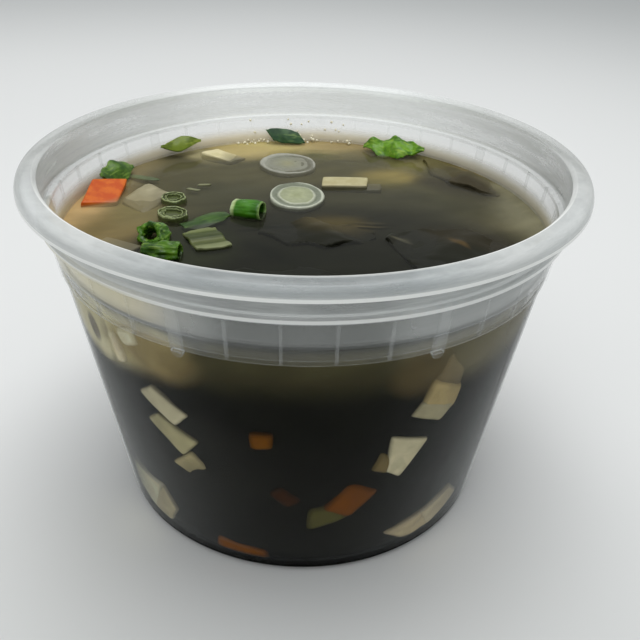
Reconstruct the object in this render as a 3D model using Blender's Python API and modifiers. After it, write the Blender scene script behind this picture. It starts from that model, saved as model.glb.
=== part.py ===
"""Round clear take-out tub filled with seaweed soup, in metres, +Z up.

The tub stands on its flat base. The origin is the centre of that base, and the front faces -Y.
The broth is one solid up to its level, cut round every topping that breaks its surface.
"""

import math

import bmesh
import bpy
from mathutils import Matrix, Vector

MM = 0.001
OBJECT_NAME = "SeaweedSoupTub"

# Clearance that touching pieces keep between them.
GAP = 0.3 * MM

# Points closer than this are one point, and folds flatter than this are one face.
WELD_DISTANCE = 0.01 * MM
FLAT_ANGLE = 0.02

# Tub: the plain wall's outer radius grows with height from the base.
HEIGHT = 78.0 * MM
RIM_RADIUS = 58.7 * MM
BASE_RADIUS = 43.0 * MM
TAPER = 0.152
WALL = 0.9 * MM
FLOOR = 1.2 * MM
TURN_STEPS = 64
WALL_LEAN = math.degrees(math.atan(TAPER))
CORNER_RADIUS = 2.5 * MM
INNER_CORNER_RADIUS = CORNER_RADIUS - WALL / 2
CORNER_STEPS = 3

# Shallow groove under the base, between the middle disc and the foot ring.
GROOVE_INNER_RADIUS = 33.0 * MM
GROOVE_OUTER_RADIUS = 35.2 * MM
GROOVE_DEPTH = 0.5 * MM
GROOVE_SLOPE = 0.3 * MM

# Collar: the band under the ledge stands slightly proud and carries the ribs.
COLLAR_BOTTOM = 59.6 * MM
COLLAR_TOP = 69.0 * MM
COLLAR_STEP = 0.45 * MM
COLLAR_SLOPE = 0.3 * MM

# Ledge bead, neck and rolled lip above the collar.
BEAD_RADIUS = 55.35 * MM
BEAD_BOTTOM = 69.4 * MM
BEAD_TOP = 70.2 * MM
BEAD_STEP = 0.4 * MM
SHELF_HEIGHT = 70.0 * MM
SHELF_SLOPE = 0.1 * MM
NECK_RADIUS = 55.0 * MM
NECK_BOTTOM = 70.7 * MM
NECK_TOP = 76.2 * MM
NECK_FLARE = 0.25 * MM
MOUTH_FLARE_DEPTH = 0.7 * MM
MOUTH_EDGE_DEPTH = 0.15 * MM
CREST_RADIUS = 55.3 * MM
LIP_EDGE_HEIGHT = 75.1 * MM
LIP_EDGE_TUCK = 0.2 * MM
LIP_EXPONENT = 2.7
LIP_STEPS = 5
LIP_INNER_STEPS = 3
LIP_INNER_ARC = (8.0, 72.0)

# Ribs on the collar: LUG_COUNT of them are wide lugs with a round lower end, RIBS_PER_LUG apart.
RIB_COUNT = 36
RIBS_PER_LUG = 5
LUG_COUNT = 7
FIRST_LUG_ANGLE = -24.0
RIB_WIDTH = 0.9 * MM
RIB_BOTTOM = 60.0 * MM
LUG_WIDTH = 2.3 * MM
LUG_BOTTOM = 58.3 * MM
LUG_END_STEPS = 6
RIB_TOP = 69.3 * MM
RIB_PROUD = 0.35 * MM
LUG_PROUD = 0.5 * MM
RIB_ROOT = 0.55 * MM

# Soup level.
SOUP_LEVEL = 63.1 * MM

# Topping stock: thicknesses and mesh densities.
LEAF_THICKNESS = 0.5 * MM
SEAWEED_THICKNESS = 0.8 * MM
SLICE_STEPS = 24
TUBE_STEPS = 14
COLUMN_HEIGHT = 12.0 * MM
BLOCK_ROUNDING = 0.35 * MM

# Scallion slice: skin thickness and the depths of its dish, groove and edges under its top.
SLICE_SKIN = 0.9 * MM
SLICE_DISH = 0.5 * MM
SLICE_HEART_EDGE = 0.35 * MM
SLICE_GROOVE = 0.75 * MM
SLICE_SHOULDER = 0.15 * MM
SLICE_FOOT = 0.4 * MM
SLICE_HEART_INSET = 2.2


# ---------------------------------------------------------------- scene and materials


def clear_scene():
    """Remove every object that the file opens with."""
    for obj in list(bpy.data.objects):
        bpy.data.objects.remove(obj, do_unlink=True)


def new_collection(name):
    """Make a collection under the scene's own."""
    collection = bpy.data.collections.new(name)
    bpy.context.scene.collection.children.link(collection)
    return collection


def new_material(name, colour, roughness, alpha=1.0):
    """Make a plain Principled material."""
    material = bpy.data.materials.new(name)
    material.use_nodes = True
    shader = material.node_tree.nodes["Principled BSDF"]
    shader.inputs["Base Color"].default_value = (*colour, 1.0)
    shader.inputs["Roughness"].default_value = roughness
    shader.inputs["Metallic"].default_value = 0.0
    shader.inputs["Alpha"].default_value = alpha
    material.diffuse_color = (*colour, alpha)
    return material


def new_object(name, mesh, collection, material=None, smooth_degrees=35.0):
    """Wrap a mesh in an object, shaded smooth except across sharp folds."""
    obj = bpy.data.objects.new(name, mesh)
    collection.objects.link(obj)
    if material is not None:
        mesh.materials.append(material)
    mesh.shade_smooth()
    mesh.set_sharp_from_angle(angle=math.radians(smooth_degrees))
    return obj


def hide_cutter(obj):
    """Keep a helper solid out of renders."""
    obj.hide_render = True
    obj.display_type = "WIRE"


def mesh_from(obj):
    """Evaluate an object, give back its mesh welded, and remove the object."""
    graph = bpy.context.evaluated_depsgraph_get()
    mesh = bpy.data.meshes.new_from_object(obj.evaluated_get(graph))
    bpy.data.objects.remove(obj, do_unlink=True)
    shape = bmesh.new()
    shape.from_mesh(mesh)
    bmesh.ops.remove_doubles(shape, verts=shape.verts, dist=WELD_DISTANCE)
    shape.to_mesh(mesh)
    shape.free()
    return mesh


# ---------------------------------------------------------------- basic shapes


def turned_mesh(profile, steps, closed=False):
    """Turn (radius, height) points round Z. The profile runs down the outer side."""
    mesh = bpy.data.meshes.new("Profile")
    edges = [(i, i + 1) for i in range(len(profile) - 1)]
    if closed:
        edges.append((len(profile) - 1, 0))
    mesh.from_pydata([(r, 0.0, z) for r, z in profile], edges, [])
    obj = bpy.data.objects.new("Turned", mesh)
    bpy.context.scene.collection.objects.link(obj)
    screw = obj.modifiers.new("Turn", "SCREW")
    screw.steps = steps
    screw.render_steps = steps
    screw.use_merge_vertices = True
    screw.merge_threshold = WELD_DISTANCE
    return mesh_from(obj)


def outline_mesh(points, thickness):
    """Extrude a flat closed outline in XY, centred on Z = 0."""
    curve = bpy.data.curves.new("Outline", "CURVE")
    curve.dimensions = "2D"
    curve.fill_mode = "BOTH"
    curve.extrude = thickness / 2
    spline = curve.splines.new("POLY")
    spline.points.add(len(points) - 1)
    for point, (x, y) in zip(spline.points, points):
        point.co = (x, y, 0.0, 1.0)
    spline.use_cyclic_u = True
    obj = bpy.data.objects.new("Outline", curve)
    bpy.context.scene.collection.objects.link(obj)
    return mesh_from(obj)


def arc(centre, radius, start, end, steps):
    """Points on an arc from the start angle to the end angle, in degrees."""
    points = []
    for i in range(steps + 1):
        angle = math.radians(start + (end - start) * i / steps)
        points.append((centre[0] + radius * math.cos(angle), centre[1] + radius * math.sin(angle)))
    return points


def outset(points, distance):
    """Move every side of a convex, anticlockwise outline outwards."""
    moved = []
    count = len(points)
    for i, point in enumerate(points):
        here = Vector(point)
        before = (here - Vector(points[i - 1])).normalized()
        after = (Vector(points[(i + 1) % count]) - here).normalized()
        normal_before = Vector((before.y, -before.x))
        normal_after = Vector((after.y, -after.x))
        corner = (normal_before + normal_after).normalized()
        reach = distance / corner.dot(normal_after)
        moved.append(tuple(here + corner * reach))
    return moved


def soften_edges(mesh, width):
    """Bevel every sharp edge of a small block by one flat."""
    shape = bmesh.new()
    shape.from_mesh(mesh)
    bmesh.ops.dissolve_limit(shape, angle_limit=FLAT_ANGLE, verts=shape.verts, edges=shape.edges)
    bmesh.ops.bevel(shape, geom=shape.edges, offset=width, segments=1, affect="EDGES", profile=0.5)
    shape.to_mesh(mesh)
    shape.free()
    return mesh


# ---------------------------------------------------------------- tub


def wall_radius(height):
    """Outer radius of the plain wall at a height."""
    return BASE_RADIUS + TAPER * height


def collar_radius(height):
    """Outer radius of the collar at a height."""
    return wall_radius(height) + COLLAR_STEP


def inner_radius(height):
    """Radius of the tub's inner wall at a height."""
    if height > SHELF_HEIGHT:
        return NECK_RADIUS - WALL
    if height > COLLAR_BOTTOM:
        return collar_radius(height) - WALL
    return wall_radius(height) - WALL


def corner_arc(radius, height, rounding, start, end):
    """Rounded foot of a wall whose face would meet its floor at this radius and height."""
    centre = (radius - rounding, height + rounding)
    return arc(centre, rounding, start, end, CORNER_STEPS)


def lip_curve(radius, height, start, end, steps):
    """Squared-off quarter curve of the rolled lip, from the crest round to its edge."""
    points = []
    power = 2.0 / LIP_EXPONENT
    for i in range(steps + 1):
        angle = math.radians(start + (end - start) * i / steps)
        across = radius * math.cos(angle) ** power
        up = height * math.sin(angle) ** power
        points.append((CREST_RADIUS + across, LIP_EDGE_HEIGHT + up))
    return points


def tub_profile():
    """Half section of the tub: up the inside, over the lip and down the outside."""
    collar_foot = COLLAR_BOTTOM + COLLAR_STEP
    lip_width = RIM_RADIUS - CREST_RADIUS
    lip_height = HEIGHT - LIP_EDGE_HEIGHT
    inside = [(0.0, FLOOR)]
    inside += corner_arc(inner_radius(FLOOR), FLOOR, INNER_CORNER_RADIUS, -90.0, -WALL_LEAN)
    inside += [
        (inner_radius(COLLAR_BOTTOM), COLLAR_BOTTOM),
        (inner_radius(collar_foot), collar_foot),
        (inner_radius(COLLAR_TOP), SHELF_HEIGHT - SHELF_SLOPE),
        (NECK_RADIUS - WALL, SHELF_HEIGHT),
        (NECK_RADIUS - 0.7 * WALL, HEIGHT - MOUTH_FLARE_DEPTH),
        (CREST_RADIUS - 0.5 * WALL, HEIGHT - MOUTH_EDGE_DEPTH),
    ]
    lip = lip_curve(lip_width, lip_height, 90.0, 0.0, LIP_STEPS)
    lip.append((RIM_RADIUS - 0.7 * WALL, LIP_EDGE_HEIGHT - LIP_EDGE_TUCK))
    lip += lip_curve(lip_width - WALL, lip_height - WALL, *LIP_INNER_ARC, LIP_INNER_STEPS)
    outside = [
        (NECK_RADIUS + NECK_FLARE, NECK_TOP),
        (NECK_RADIUS, NECK_BOTTOM),
        (BEAD_RADIUS, BEAD_TOP),
        (BEAD_RADIUS, BEAD_BOTTOM),
        (BEAD_RADIUS - BEAD_STEP, COLLAR_TOP),
        (collar_radius(COLLAR_TOP), COLLAR_TOP),
        (collar_radius(COLLAR_BOTTOM), COLLAR_BOTTOM),
        (wall_radius(COLLAR_BOTTOM), COLLAR_BOTTOM - COLLAR_SLOPE),
    ]
    outside += corner_arc(BASE_RADIUS, 0.0, CORNER_RADIUS, -WALL_LEAN, -90.0)
    base = [
        (GROOVE_OUTER_RADIUS, 0.0),
        (GROOVE_OUTER_RADIUS - GROOVE_SLOPE, GROOVE_DEPTH),
        (GROOVE_INNER_RADIUS + GROOVE_SLOPE, GROOVE_DEPTH),
        (GROOVE_INNER_RADIUS, 0.0),
        (0.0, 0.0),
    ]
    return inside + lip + outside + base


def rib_mesh():
    """Narrow upright bar, its outer face RIB_PROUD over the collar."""
    length = RIB_TOP - RIB_BOTTOM
    half = RIB_WIDTH / 2
    outline = [(-half, 0.0), (half, 0.0), (half, length), (-half, length)]
    mesh = outline_mesh(outline, RIB_ROOT + RIB_PROUD)
    mesh.transform(Matrix.Translation((0.0, 0.0, (RIB_PROUD - RIB_ROOT) / 2)))
    return mesh


def lug_mesh():
    """Wide upright bar with a half-round lower end."""
    length = RIB_TOP - LUG_BOTTOM
    half = LUG_WIDTH / 2
    outline = arc((0.0, half), half, 180.0, 360.0, LUG_END_STEPS)
    outline += [(half, length), (-half, length)]
    mesh = outline_mesh(outline, RIB_ROOT + LUG_PROUD)
    mesh.transform(Matrix.Translation((0.0, 0.0, (LUG_PROUD - RIB_ROOT) / 2)))
    return mesh


def add_ribs(collection):
    """Stand the ribs and lugs round the collar."""
    lean = math.atan(TAPER)
    step = 360.0 / RIB_COUNT
    thin = rib_mesh()
    wide = lug_mesh()
    for i in range(RIB_COUNT):
        is_lug = i % RIBS_PER_LUG == 0 and i < LUG_COUNT * RIBS_PER_LUG
        bottom = LUG_BOTTOM if is_lug else RIB_BOTTOM
        rib = bpy.data.objects.new(f"Rib{i:02d}", wide if is_lug else thin)
        collection.objects.link(rib)
        turn = Matrix.Rotation(math.radians(FIRST_LUG_ANGLE + i * step), 4, "Z")
        place = Matrix.Translation((0.0, -collar_radius(bottom), bottom))
        stand = Matrix.Rotation(math.radians(90.0) + lean, 4, "X")
        rib.matrix_world = turn @ place @ stand
        hide_cutter(rib)


def add_tub(parts, ribs, material):
    """Turn the tub and join its ribs to it."""
    tub = new_object("tub", turned_mesh(tub_profile(), TURN_STEPS), parts, material)
    add_ribs(ribs)
    join = tub.modifiers.new("JoinRibs", "BOOLEAN")
    join.operation = "UNION"
    join.solver = "EXACT"
    join.operand_type = "COLLECTION"
    join.collection = ribs
    return tub


# ---------------------------------------------------------------- broth


def broth_profile():
    """Half section of the soup: out along its surface and down inside the wall."""
    bottom = FLOOR + GAP
    points = [(0.0, SOUP_LEVEL)]
    for height in (SOUP_LEVEL, COLLAR_BOTTOM + COLLAR_STEP, COLLAR_BOTTOM):
        points.append((inner_radius(height) - GAP, height))
    points += corner_arc(inner_radius(FLOOR) - GAP, bottom, INNER_CORNER_RADIUS, -WALL_LEAN, -90.0)
    points.append((0.0, bottom))
    return points


def add_broth(parts, cutters, material):
    """Turn the soup and cut it round the toppings."""
    broth = new_object("broth", turned_mesh(broth_profile(), TURN_STEPS), parts, material)
    cut = broth.modifiers.new("RoundToppings", "BOOLEAN")
    cut.operation = "DIFFERENCE"
    cut.solver = "EXACT"
    cut.operand_type = "COLLECTION"
    cut.collection = cutters
    return broth


# ---------------------------------------------------------------- topping shapes


def block_mesh(width, depth, height, skew, grow):
    """Sheared block: tofu or carrot. A grown block makes its pocket in the soup."""
    outline = [
        (-width / 2 - skew, -depth / 2),
        (width / 2 - skew, -depth / 2),
        (width / 2 + skew, depth / 2),
        (-width / 2 + skew, depth / 2),
    ]
    mesh = outline_mesh(outset(outline, grow), height + 2 * grow)
    if grow == 0.0:
        soften_edges(mesh, BLOCK_ROUNDING)
    return mesh


def slice_mesh(radius, height, squash, grow):
    """Cross slice of a scallion's white end: raised skin round a dished heart."""
    if grow > 0.0:
        outer = radius + grow
        profile = [(0.0, height + grow), (outer, height + grow), (outer, -grow), (0.0, -grow)]
    else:
        heart = radius - SLICE_HEART_INSET * SLICE_SKIN
        profile = [
            (0.0, height - SLICE_DISH),
            (heart, height - SLICE_HEART_EDGE),
            (heart + SLICE_SKIN / 2, height - SLICE_GROOVE),
            (radius - SLICE_SKIN, height - SLICE_SHOULDER),
            (radius - SLICE_SKIN / 2, height),
            (radius, height - SLICE_HEART_EDGE),
            (radius, SLICE_FOOT),
            (radius - SLICE_FOOT, 0.0),
            (0.0, 0.0),
        ]
    mesh = turned_mesh(profile, SLICE_STEPS)
    mesh.transform(Matrix.Diagonal((1.0, squash, 1.0, 1.0)))
    return mesh


def tube_mesh(radius, skin, length, squash, bow, grow):
    """Short cut of hollow scallion, its axis along X. Its pocket is a full rod."""
    outer = radius + grow
    half = length / 2 + grow
    middle = outer * (1.0 + bow)
    if grow > 0.0:
        profile = [(0.0, half), (outer, half), (middle, 0.0), (outer, -half), (0.0, -half)]
        mesh = turned_mesh(profile, TUBE_STEPS)
    else:
        inner = radius - skin
        profile = [
            (outer, half),
            (middle, 0.0),
            (outer, -half),
            (inner, -half),
            (inner * (1.0 + bow), 0.0),
            (inner, half),
        ]
        mesh = turned_mesh(profile, TUBE_STEPS, closed=True)
    mesh.transform(Matrix.Rotation(math.radians(90.0), 4, "Y"))
    mesh.transform(Matrix.Diagonal((1.0, 1.0, squash, 1.0)))
    return mesh


class Sheet:
    """A thin wavy leaf, made from a grid that is fitted to its outline."""

    def __init__(self, length, width, cells, tip=0.15, power=2.0, lobes=0.0, phase=0.0,
                 waves=(), curl=0.0, shear=0.0, thickness=LEAF_THICKNESS):
        self.length = length
        self.width = width
        self.cells = cells
        self.tip = tip
        self.power = power
        self.lobes = lobes
        self.phase = phase
        self.waves = waves
        self.curl = curl
        self.shear = shear
        self.thickness = thickness

    def half_width(self, along, side):
        """Half width at a place along the leaf, with its own edge on each side."""
        body = max(self.tip, (1.0 - abs(along) ** self.power))
        lobe = 1.0 + self.lobes * math.sin(3.0 * math.pi * along + self.phase + 1.7 * side)
        return self.width / 2 * body * lobe

    def height(self, x, y):
        """Height of the leaf's middle surface: its waves and its cupped edge."""
        total = self.curl * (2.0 * y / self.width) ** 2
        for amplitude, turns_x, turns_y, start in self.waves:
            total += amplitude * math.sin(
                2.0 * math.pi * (turns_x * x / self.length + turns_y * y / self.width) + start
            )
        return total

    def surface(self, grow, drop):
        """Open triangulated grid of the leaf, widened by grow and lowered by drop."""
        shape = bmesh.new()
        rows = []
        along_cells, across_cells = self.cells
        for i in range(along_cells + 1):
            along = 2.0 * i / along_cells - 1.0
            x = along * (self.length / 2 + grow)
            row = []
            for j in range(across_cells + 1):
                across = 2.0 * j / across_cells - 1.0
                side = 1.0 if across > 0.0 else -1.0
                y = across * (self.half_width(along, side) + grow)
                row.append(shape.verts.new((x + self.shear * y, y, self.height(x, y) - drop)))
            rows.append(row)
        for i in range(along_cells):
            for j in range(across_cells):
                near = (rows[i][j], rows[i + 1][j], rows[i + 1][j + 1])
                far = (rows[i][j], rows[i + 1][j + 1], rows[i][j + 1])
                shape.faces.new(near)
                shape.faces.new(far)
        return shape

    def solid(self, grow):
        """Closed leaf, or for its pocket a column from just under it upwards."""
        mesh = bpy.data.meshes.new("Sheet")
        if grow == 0.0:
            shape = self.surface(0.0, 0.0)
            shape.to_mesh(mesh)
            shape.free()
            obj = bpy.data.objects.new("Sheet", mesh)
            bpy.context.scene.collection.objects.link(obj)
            shell = obj.modifiers.new("Thickness", "SOLIDIFY")
            shell.thickness = self.thickness
            shell.offset = 0.0
            return mesh_from(obj)
        shape = self.surface(grow, self.thickness / 2 + grow)
        made = bmesh.ops.extrude_face_region(shape, geom=list(shape.faces))
        top = [item for item in made["geom"] if isinstance(item, bmesh.types.BMVert)]
        for vert in top:
            vert.co.z = COLUMN_HEIGHT
        bmesh.ops.recalc_face_normals(shape, faces=shape.faces)
        shape.to_mesh(mesh)
        shape.free()
        return mesh


# ---------------------------------------------------------------- toppings


def add_topping(name, build, place, tilt, parts, cutters, material):
    """Make one topping and the slightly larger solid that cuts its pocket.

    place is (x, y, height above the soup) in millimetres and tilt is (x, y, z) in degrees.
    """
    location = Vector((place[0] * MM, place[1] * MM, SOUP_LEVEL + place[2] * MM))
    rotation = [math.radians(angle) for angle in tilt]
    piece = new_object(name, build(0.0), parts, material)
    pocket = new_object(name + "_pocket", build(GAP), cutters)
    hide_cutter(pocket)
    for obj in (piece, pocket):
        obj.location = location
        obj.rotation_euler = rotation
    return piece


def carrot(grow):
    """Slab of carrot that leans on the left wall."""
    return block_mesh(8.2 * MM, 9.0 * MM, 2.6 * MM, 2.2 * MM, grow)


def tofu_block(grow):
    """Cube of tofu whose top just clears the soup."""
    return block_mesh(7.4 * MM, 9.6 * MM, 6.0 * MM, -1.2 * MM, grow)


def tofu_corner(grow):
    """Thin cut of tofu, one corner up."""
    return block_mesh(9.0 * MM, 5.2 * MM, 2.4 * MM, 0.9 * MM, grow)


def tofu_bar(grow):
    """Bar of tofu in the middle of the bowl."""
    return block_mesh(11.0 * MM, 5.0 * MM, 5.0 * MM, 0.3 * MM, grow)


def front_slice(grow):
    """White scallion slice that floats highest."""
    return slice_mesh(6.2 * MM, 1.8 * MM, 1.12, grow)


def back_slice(grow):
    """Soaked scallion slice, nearly level with the soup."""
    return slice_mesh(7.0 * MM, 1.4 * MM, 1.06, grow)


def green_tube(grow):
    """Bright cut of scallion leaf, open at both ends."""
    return tube_mesh(2.5 * MM, 0.6 * MM, 6.8 * MM, 0.85, 0.05, grow)


def small_ring(grow):
    """Thin ring of scallion lying flat."""
    mesh = tube_mesh(2.7 * MM, 0.55 * MM, 2.2 * MM, 1.0, 0.06, grow)
    mesh.transform(Matrix.Rotation(math.radians(90.0), 4, "Y"))
    return mesh


def large_ring(grow):
    """Wider thin ring of scallion lying flat."""
    mesh = tube_mesh(3.1 * MM, 0.55 * MM, 2.2 * MM, 1.0, 0.06, grow)
    mesh.transform(Matrix.Rotation(math.radians(90.0), 4, "Y"))
    return mesh


def curled_ring(grow):
    """Cut of scallion that stands half on edge."""
    return tube_mesh(3.1 * MM, 0.7 * MM, 4.4 * MM, 0.86, 0.08, grow)


def curled_cut(grow):
    """Longer wrinkled cut of scallion."""
    return tube_mesh(2.2 * MM, 0.6 * MM, 7.6 * MM, 0.85, 0.10, grow)


SPLIT_CUT = Sheet(7.8 * MM, 8.2 * MM, (6, 10), tip=0.92, power=6.0, thickness=0.8 * MM,
                  waves=((0.5 * MM, 0.0, 2.0, 0.4),))
GREEN_STRIP = Sheet(10.6 * MM, 4.6 * MM, (8, 4), tip=0.3, power=1.8, curl=-0.6 * MM,
                    waves=((0.25 * MM, 1.0, 0.0, 0.5),))
LEAF_BACK_LEFT = Sheet(11.8 * MM, 4.6 * MM, (8, 4), power=1.3, curl=-0.3 * MM, shear=0.45,
                       waves=((0.3 * MM, 1.0, 0.0, 0.2),))
LEAF_BACK = Sheet(8.8 * MM, 3.9 * MM, (6, 4), tip=0.75, power=6.0, curl=-0.2 * MM, shear=-0.8,
                  waves=((0.25 * MM, 1.0, 0.2, 1.1),))
LEAF_LEFT = Sheet(12.0 * MM, 6.0 * MM, (10, 6), power=2.2, lobes=0.12, curl=-0.5 * MM, shear=0.2,
                  waves=((0.5 * MM, 1.5, 0.2, 0.3), (0.2 * MM, 0.4, 1.0, 1.0)))
LEAF_BACK_RIGHT = Sheet(17.0 * MM, 6.6 * MM, (14, 7), power=2.0, lobes=0.16, phase=0.8,
                        curl=-0.5 * MM,
                        waves=((0.55 * MM, 2.4, 0.3, 0.6), (0.3 * MM, 1.0, 1.2, 2.0)))
SEAWEED_BACK = Sheet(27.0 * MM, 8.0 * MM, (16, 5), power=2.4, lobes=0.14, phase=2.0,
                     thickness=SEAWEED_THICKNESS,
                     waves=((0.5 * MM, 1.6, 0.2, 0.4), (0.25 * MM, 0.8, 1.0, 1.3)))
SEAWEED_RIGHT = Sheet(30.0 * MM, 20.0 * MM, (14, 8), power=2.6, lobes=0.12, phase=0.5,
                      thickness=SEAWEED_THICKNESS,
                      waves=((0.6 * MM, 1.3, 0.5, 0.9), (0.35 * MM, 2.2, -0.8, 2.2)))
SEAWEED_FRONT = Sheet(38.0 * MM, 19.0 * MM, (16, 8), power=2.8, lobes=0.13, phase=3.4,
                      thickness=SEAWEED_THICKNESS,
                      waves=((0.6 * MM, 1.2, 0.6, 2.9), (0.35 * MM, 2.4, 0.7, 0.4)))
SEAWEED_CENTRE = Sheet(25.0 * MM, 12.0 * MM, (12, 6), power=2.4, lobes=0.15, phase=1.2,
                       thickness=SEAWEED_THICKNESS,
                       waves=((0.45 * MM, 1.4, 0.4, 1.8), (0.25 * MM, 2.0, 0.9, 0.5)))


def toppings():
    """Name, shape, place, tilt and material name of every topping."""
    return (
        ("carrot", carrot, (-46.4, 10.0, 0.1), (8.0, 9.6, 25.0), "carrot"),
        ("tofu_left", tofu_block, (-36.9, 10.6, -2.5), (3.0, 3.0, -40.0), "tofu"),
        ("tofu_back", tofu_corner, (-21.4, 38.2, -0.4), (-2.0, 7.0, 18.0), "tofu"),
        ("tofu_bar", tofu_bar, (9.3, 20.6, -1.3), (4.0, 1.0, 2.0), "tofu"),
        ("scallion_slice_front", front_slice, (-2.1, 11.6, -0.7), (3.0, 2.0, 0.0), "scallion_white"),
        ("scallion_slice_back", back_slice, (-4.7, 34.0, -1.1), (0.0, 1.5, 0.0), "scallion_soaked"),
        ("scallion_tube", green_tube, (-12.7, 2.2, 0.7), (0.0, -4.0, -18.0), "scallion_green"),
        ("scallion_strip", GREEN_STRIP.solid, (-21.7, -1.9, 0.1), (0.0, 0.0, 38.0), "scallion_green"),
        ("scallion_split", SPLIT_CUT.solid, (-20.2, -12.3, 0.1), (2.0, 0.0, 30.0), "scallion_split"),
        ("scallion_ring_back", small_ring, (-30.0, 8.4, 0.0), (2.0, 0.0, 0.0), "scallion_pale"),
        ("scallion_ring_front", large_ring, (-28.9, -0.4, 0.0), (0.0, 3.0, 0.0), "scallion_pale"),
        ("scallion_curl_back", curled_ring, (-31.2, -11.6, 0.5), (0.0, 40.0, 70.0), "scallion_green"),
        ("scallion_curl_front", curled_cut, (-28.4, -18.8, 0.5), (0.0, -5.0, -8.0), "scallion_green"),
        ("leaf_back_left", LEAF_BACK_LEFT.solid, (-32.3, 38.7, 3.1), (48.0, 3.0, 38.0), "leaf_olive"),
        ("leaf_back", LEAF_BACK.solid, (-5.7, 49.5, 2.1), (52.0, 6.0, 6.0), "leaf_dark"),
        ("leaf_left", LEAF_LEFT.solid, (-45.1, 20.3, 2.3), (42.0, 6.0, 62.0), "leaf_dark"),
        ("leaf_back_right", LEAF_BACK_RIGHT.solid, (22.8, 42.2, 2.2), (34.0, -4.0, -24.0), "leaf_bright"),
        ("seaweed_back", SEAWEED_BACK.solid, (38.2, 26.8, 0.0), (2.0, 0.0, -56.0), "seaweed"),
        ("seaweed_right", SEAWEED_RIGHT.solid, (31.0, -15.0, -0.2), (0.0, 0.0, -25.0), "seaweed"),
        ("seaweed_front", SEAWEED_FRONT.solid, (-4.5, -33.5, -0.2), (0.0, 0.0, 6.0), "seaweed"),
        ("seaweed_centre", SEAWEED_CENTRE.solid, (2.5, -7.0, -0.3), (0.0, 0.0, -4.0), "seaweed"),
    )


def topping_materials():
    """Materials of the toppings by name."""
    return {
        "carrot": new_material("Carrot", (0.72, 0.18, 0.03), 0.45),
        "tofu": new_material("Tofu", (0.72, 0.66, 0.50), 0.55),
        "scallion_white": new_material("ScallionWhite", (0.66, 0.70, 0.52), 0.35),
        "scallion_soaked": new_material("ScallionSoaked", (0.38, 0.40, 0.33), 0.35),
        "scallion_green": new_material("ScallionGreen", (0.09, 0.28, 0.03), 0.35),
        "scallion_pale": new_material("ScallionPale", (0.22, 0.33, 0.10), 0.35),
        "scallion_split": new_material("ScallionSplit", (0.26, 0.32, 0.12), 0.40),
        "leaf_olive": new_material("LeafOlive", (0.16, 0.22, 0.04), 0.40),
        "leaf_dark": new_material("LeafDark", (0.03, 0.12, 0.03), 0.40),
        "leaf_bright": new_material("LeafBright", (0.16, 0.40, 0.03), 0.40),
        "seaweed": new_material("Seaweed", (0.02, 0.022, 0.012), 0.30),
    }


def main():
    """Build the tub, the soup and its toppings."""
    clear_scene()
    parts = new_collection(OBJECT_NAME)
    cutters = new_collection("Pockets")
    ribs = new_collection("RibSolids")
    plastic = new_material("ClearPlastic", (0.80, 0.82, 0.82), 0.15, alpha=0.35)
    broth = new_material("Broth", (0.16, 0.12, 0.07), 0.10)
    add_tub(parts, ribs, plastic)
    materials = topping_materials()
    for name, build, place, tilt, material in toppings():
        add_topping(name, build, place, tilt, parts, cutters, materials[material])
    add_broth(parts, cutters, broth)


main()
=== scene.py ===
"""Seaweed soup in a round clear take-out tub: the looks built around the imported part.

The tub, the soup and each topping are classes. The soup is an opaque, lumpy mass of seaweed under a thin
glossy film, and whatever is sunk fades into the broth's own colour with its depth below the surface or
behind the wall. That colour and that fade come from one node group that every wet material reads.
"""

import logging
import math
import random
from dataclasses import dataclass
from enum import Enum

import bmesh
import bpy
from mathutils import Matrix, Vector, noise

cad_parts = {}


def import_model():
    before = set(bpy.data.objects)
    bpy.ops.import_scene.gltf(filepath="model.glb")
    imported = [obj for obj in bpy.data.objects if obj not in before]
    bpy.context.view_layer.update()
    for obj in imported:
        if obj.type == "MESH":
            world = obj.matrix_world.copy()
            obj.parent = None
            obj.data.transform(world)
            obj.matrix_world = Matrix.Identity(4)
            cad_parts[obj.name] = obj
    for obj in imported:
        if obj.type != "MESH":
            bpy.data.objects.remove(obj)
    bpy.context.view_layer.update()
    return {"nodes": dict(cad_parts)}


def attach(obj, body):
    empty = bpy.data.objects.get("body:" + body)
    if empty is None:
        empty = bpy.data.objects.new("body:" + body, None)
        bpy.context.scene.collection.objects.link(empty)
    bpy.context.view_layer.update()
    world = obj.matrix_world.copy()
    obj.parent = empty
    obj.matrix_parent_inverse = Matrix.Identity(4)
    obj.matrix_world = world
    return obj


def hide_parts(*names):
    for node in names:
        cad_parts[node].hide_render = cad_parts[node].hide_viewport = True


LOG = logging.getLogger("soup")
MM = 0.001
BODY = "root"
NOISE_SEED = 11  # noise vectors follow the clock until a seed is set

Colour = tuple[float, float, float]
Point = tuple[float, float, float]
Span = tuple[float, float]
Stops = tuple[tuple[float, Colour], ...]
Outline = list[Span]
Piece = bpy.types.Object


def srgb(red: float, green: float, blue: float) -> Colour:
    """Turn a colour on the 0 to 255 display scale into linear light.

    Args:
        red: red on the display scale.
        green: green on the display scale.
        blue: blue on the display scale.

    Returns:
        The linear colour that shader sockets take.
    """
    def linear(channel: float) -> float:
        """Undo the display's curve on one channel."""
        share = channel / 255
        return share / 12.92 if share <= 0.04045 else ((share + 0.055) / 1.055) ** 2.4

    return linear(red), linear(green), linear(blue)


def paler(colour: Colour, gain: float = 1.15) -> Colour:
    """A colour made brighter, and no brighter than white."""
    return tuple(min(1, channel * gain) for channel in colour)


def clamped(value: float) -> float:
    """A value kept between 0 and 1."""
    return max(0, min(1, value))


def eased(share: float) -> float:
    """A share from 0 to 1 that starts and ends softly."""
    return share * share * (3 - 2 * share)


# ---- the tub's driving dimensions


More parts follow.
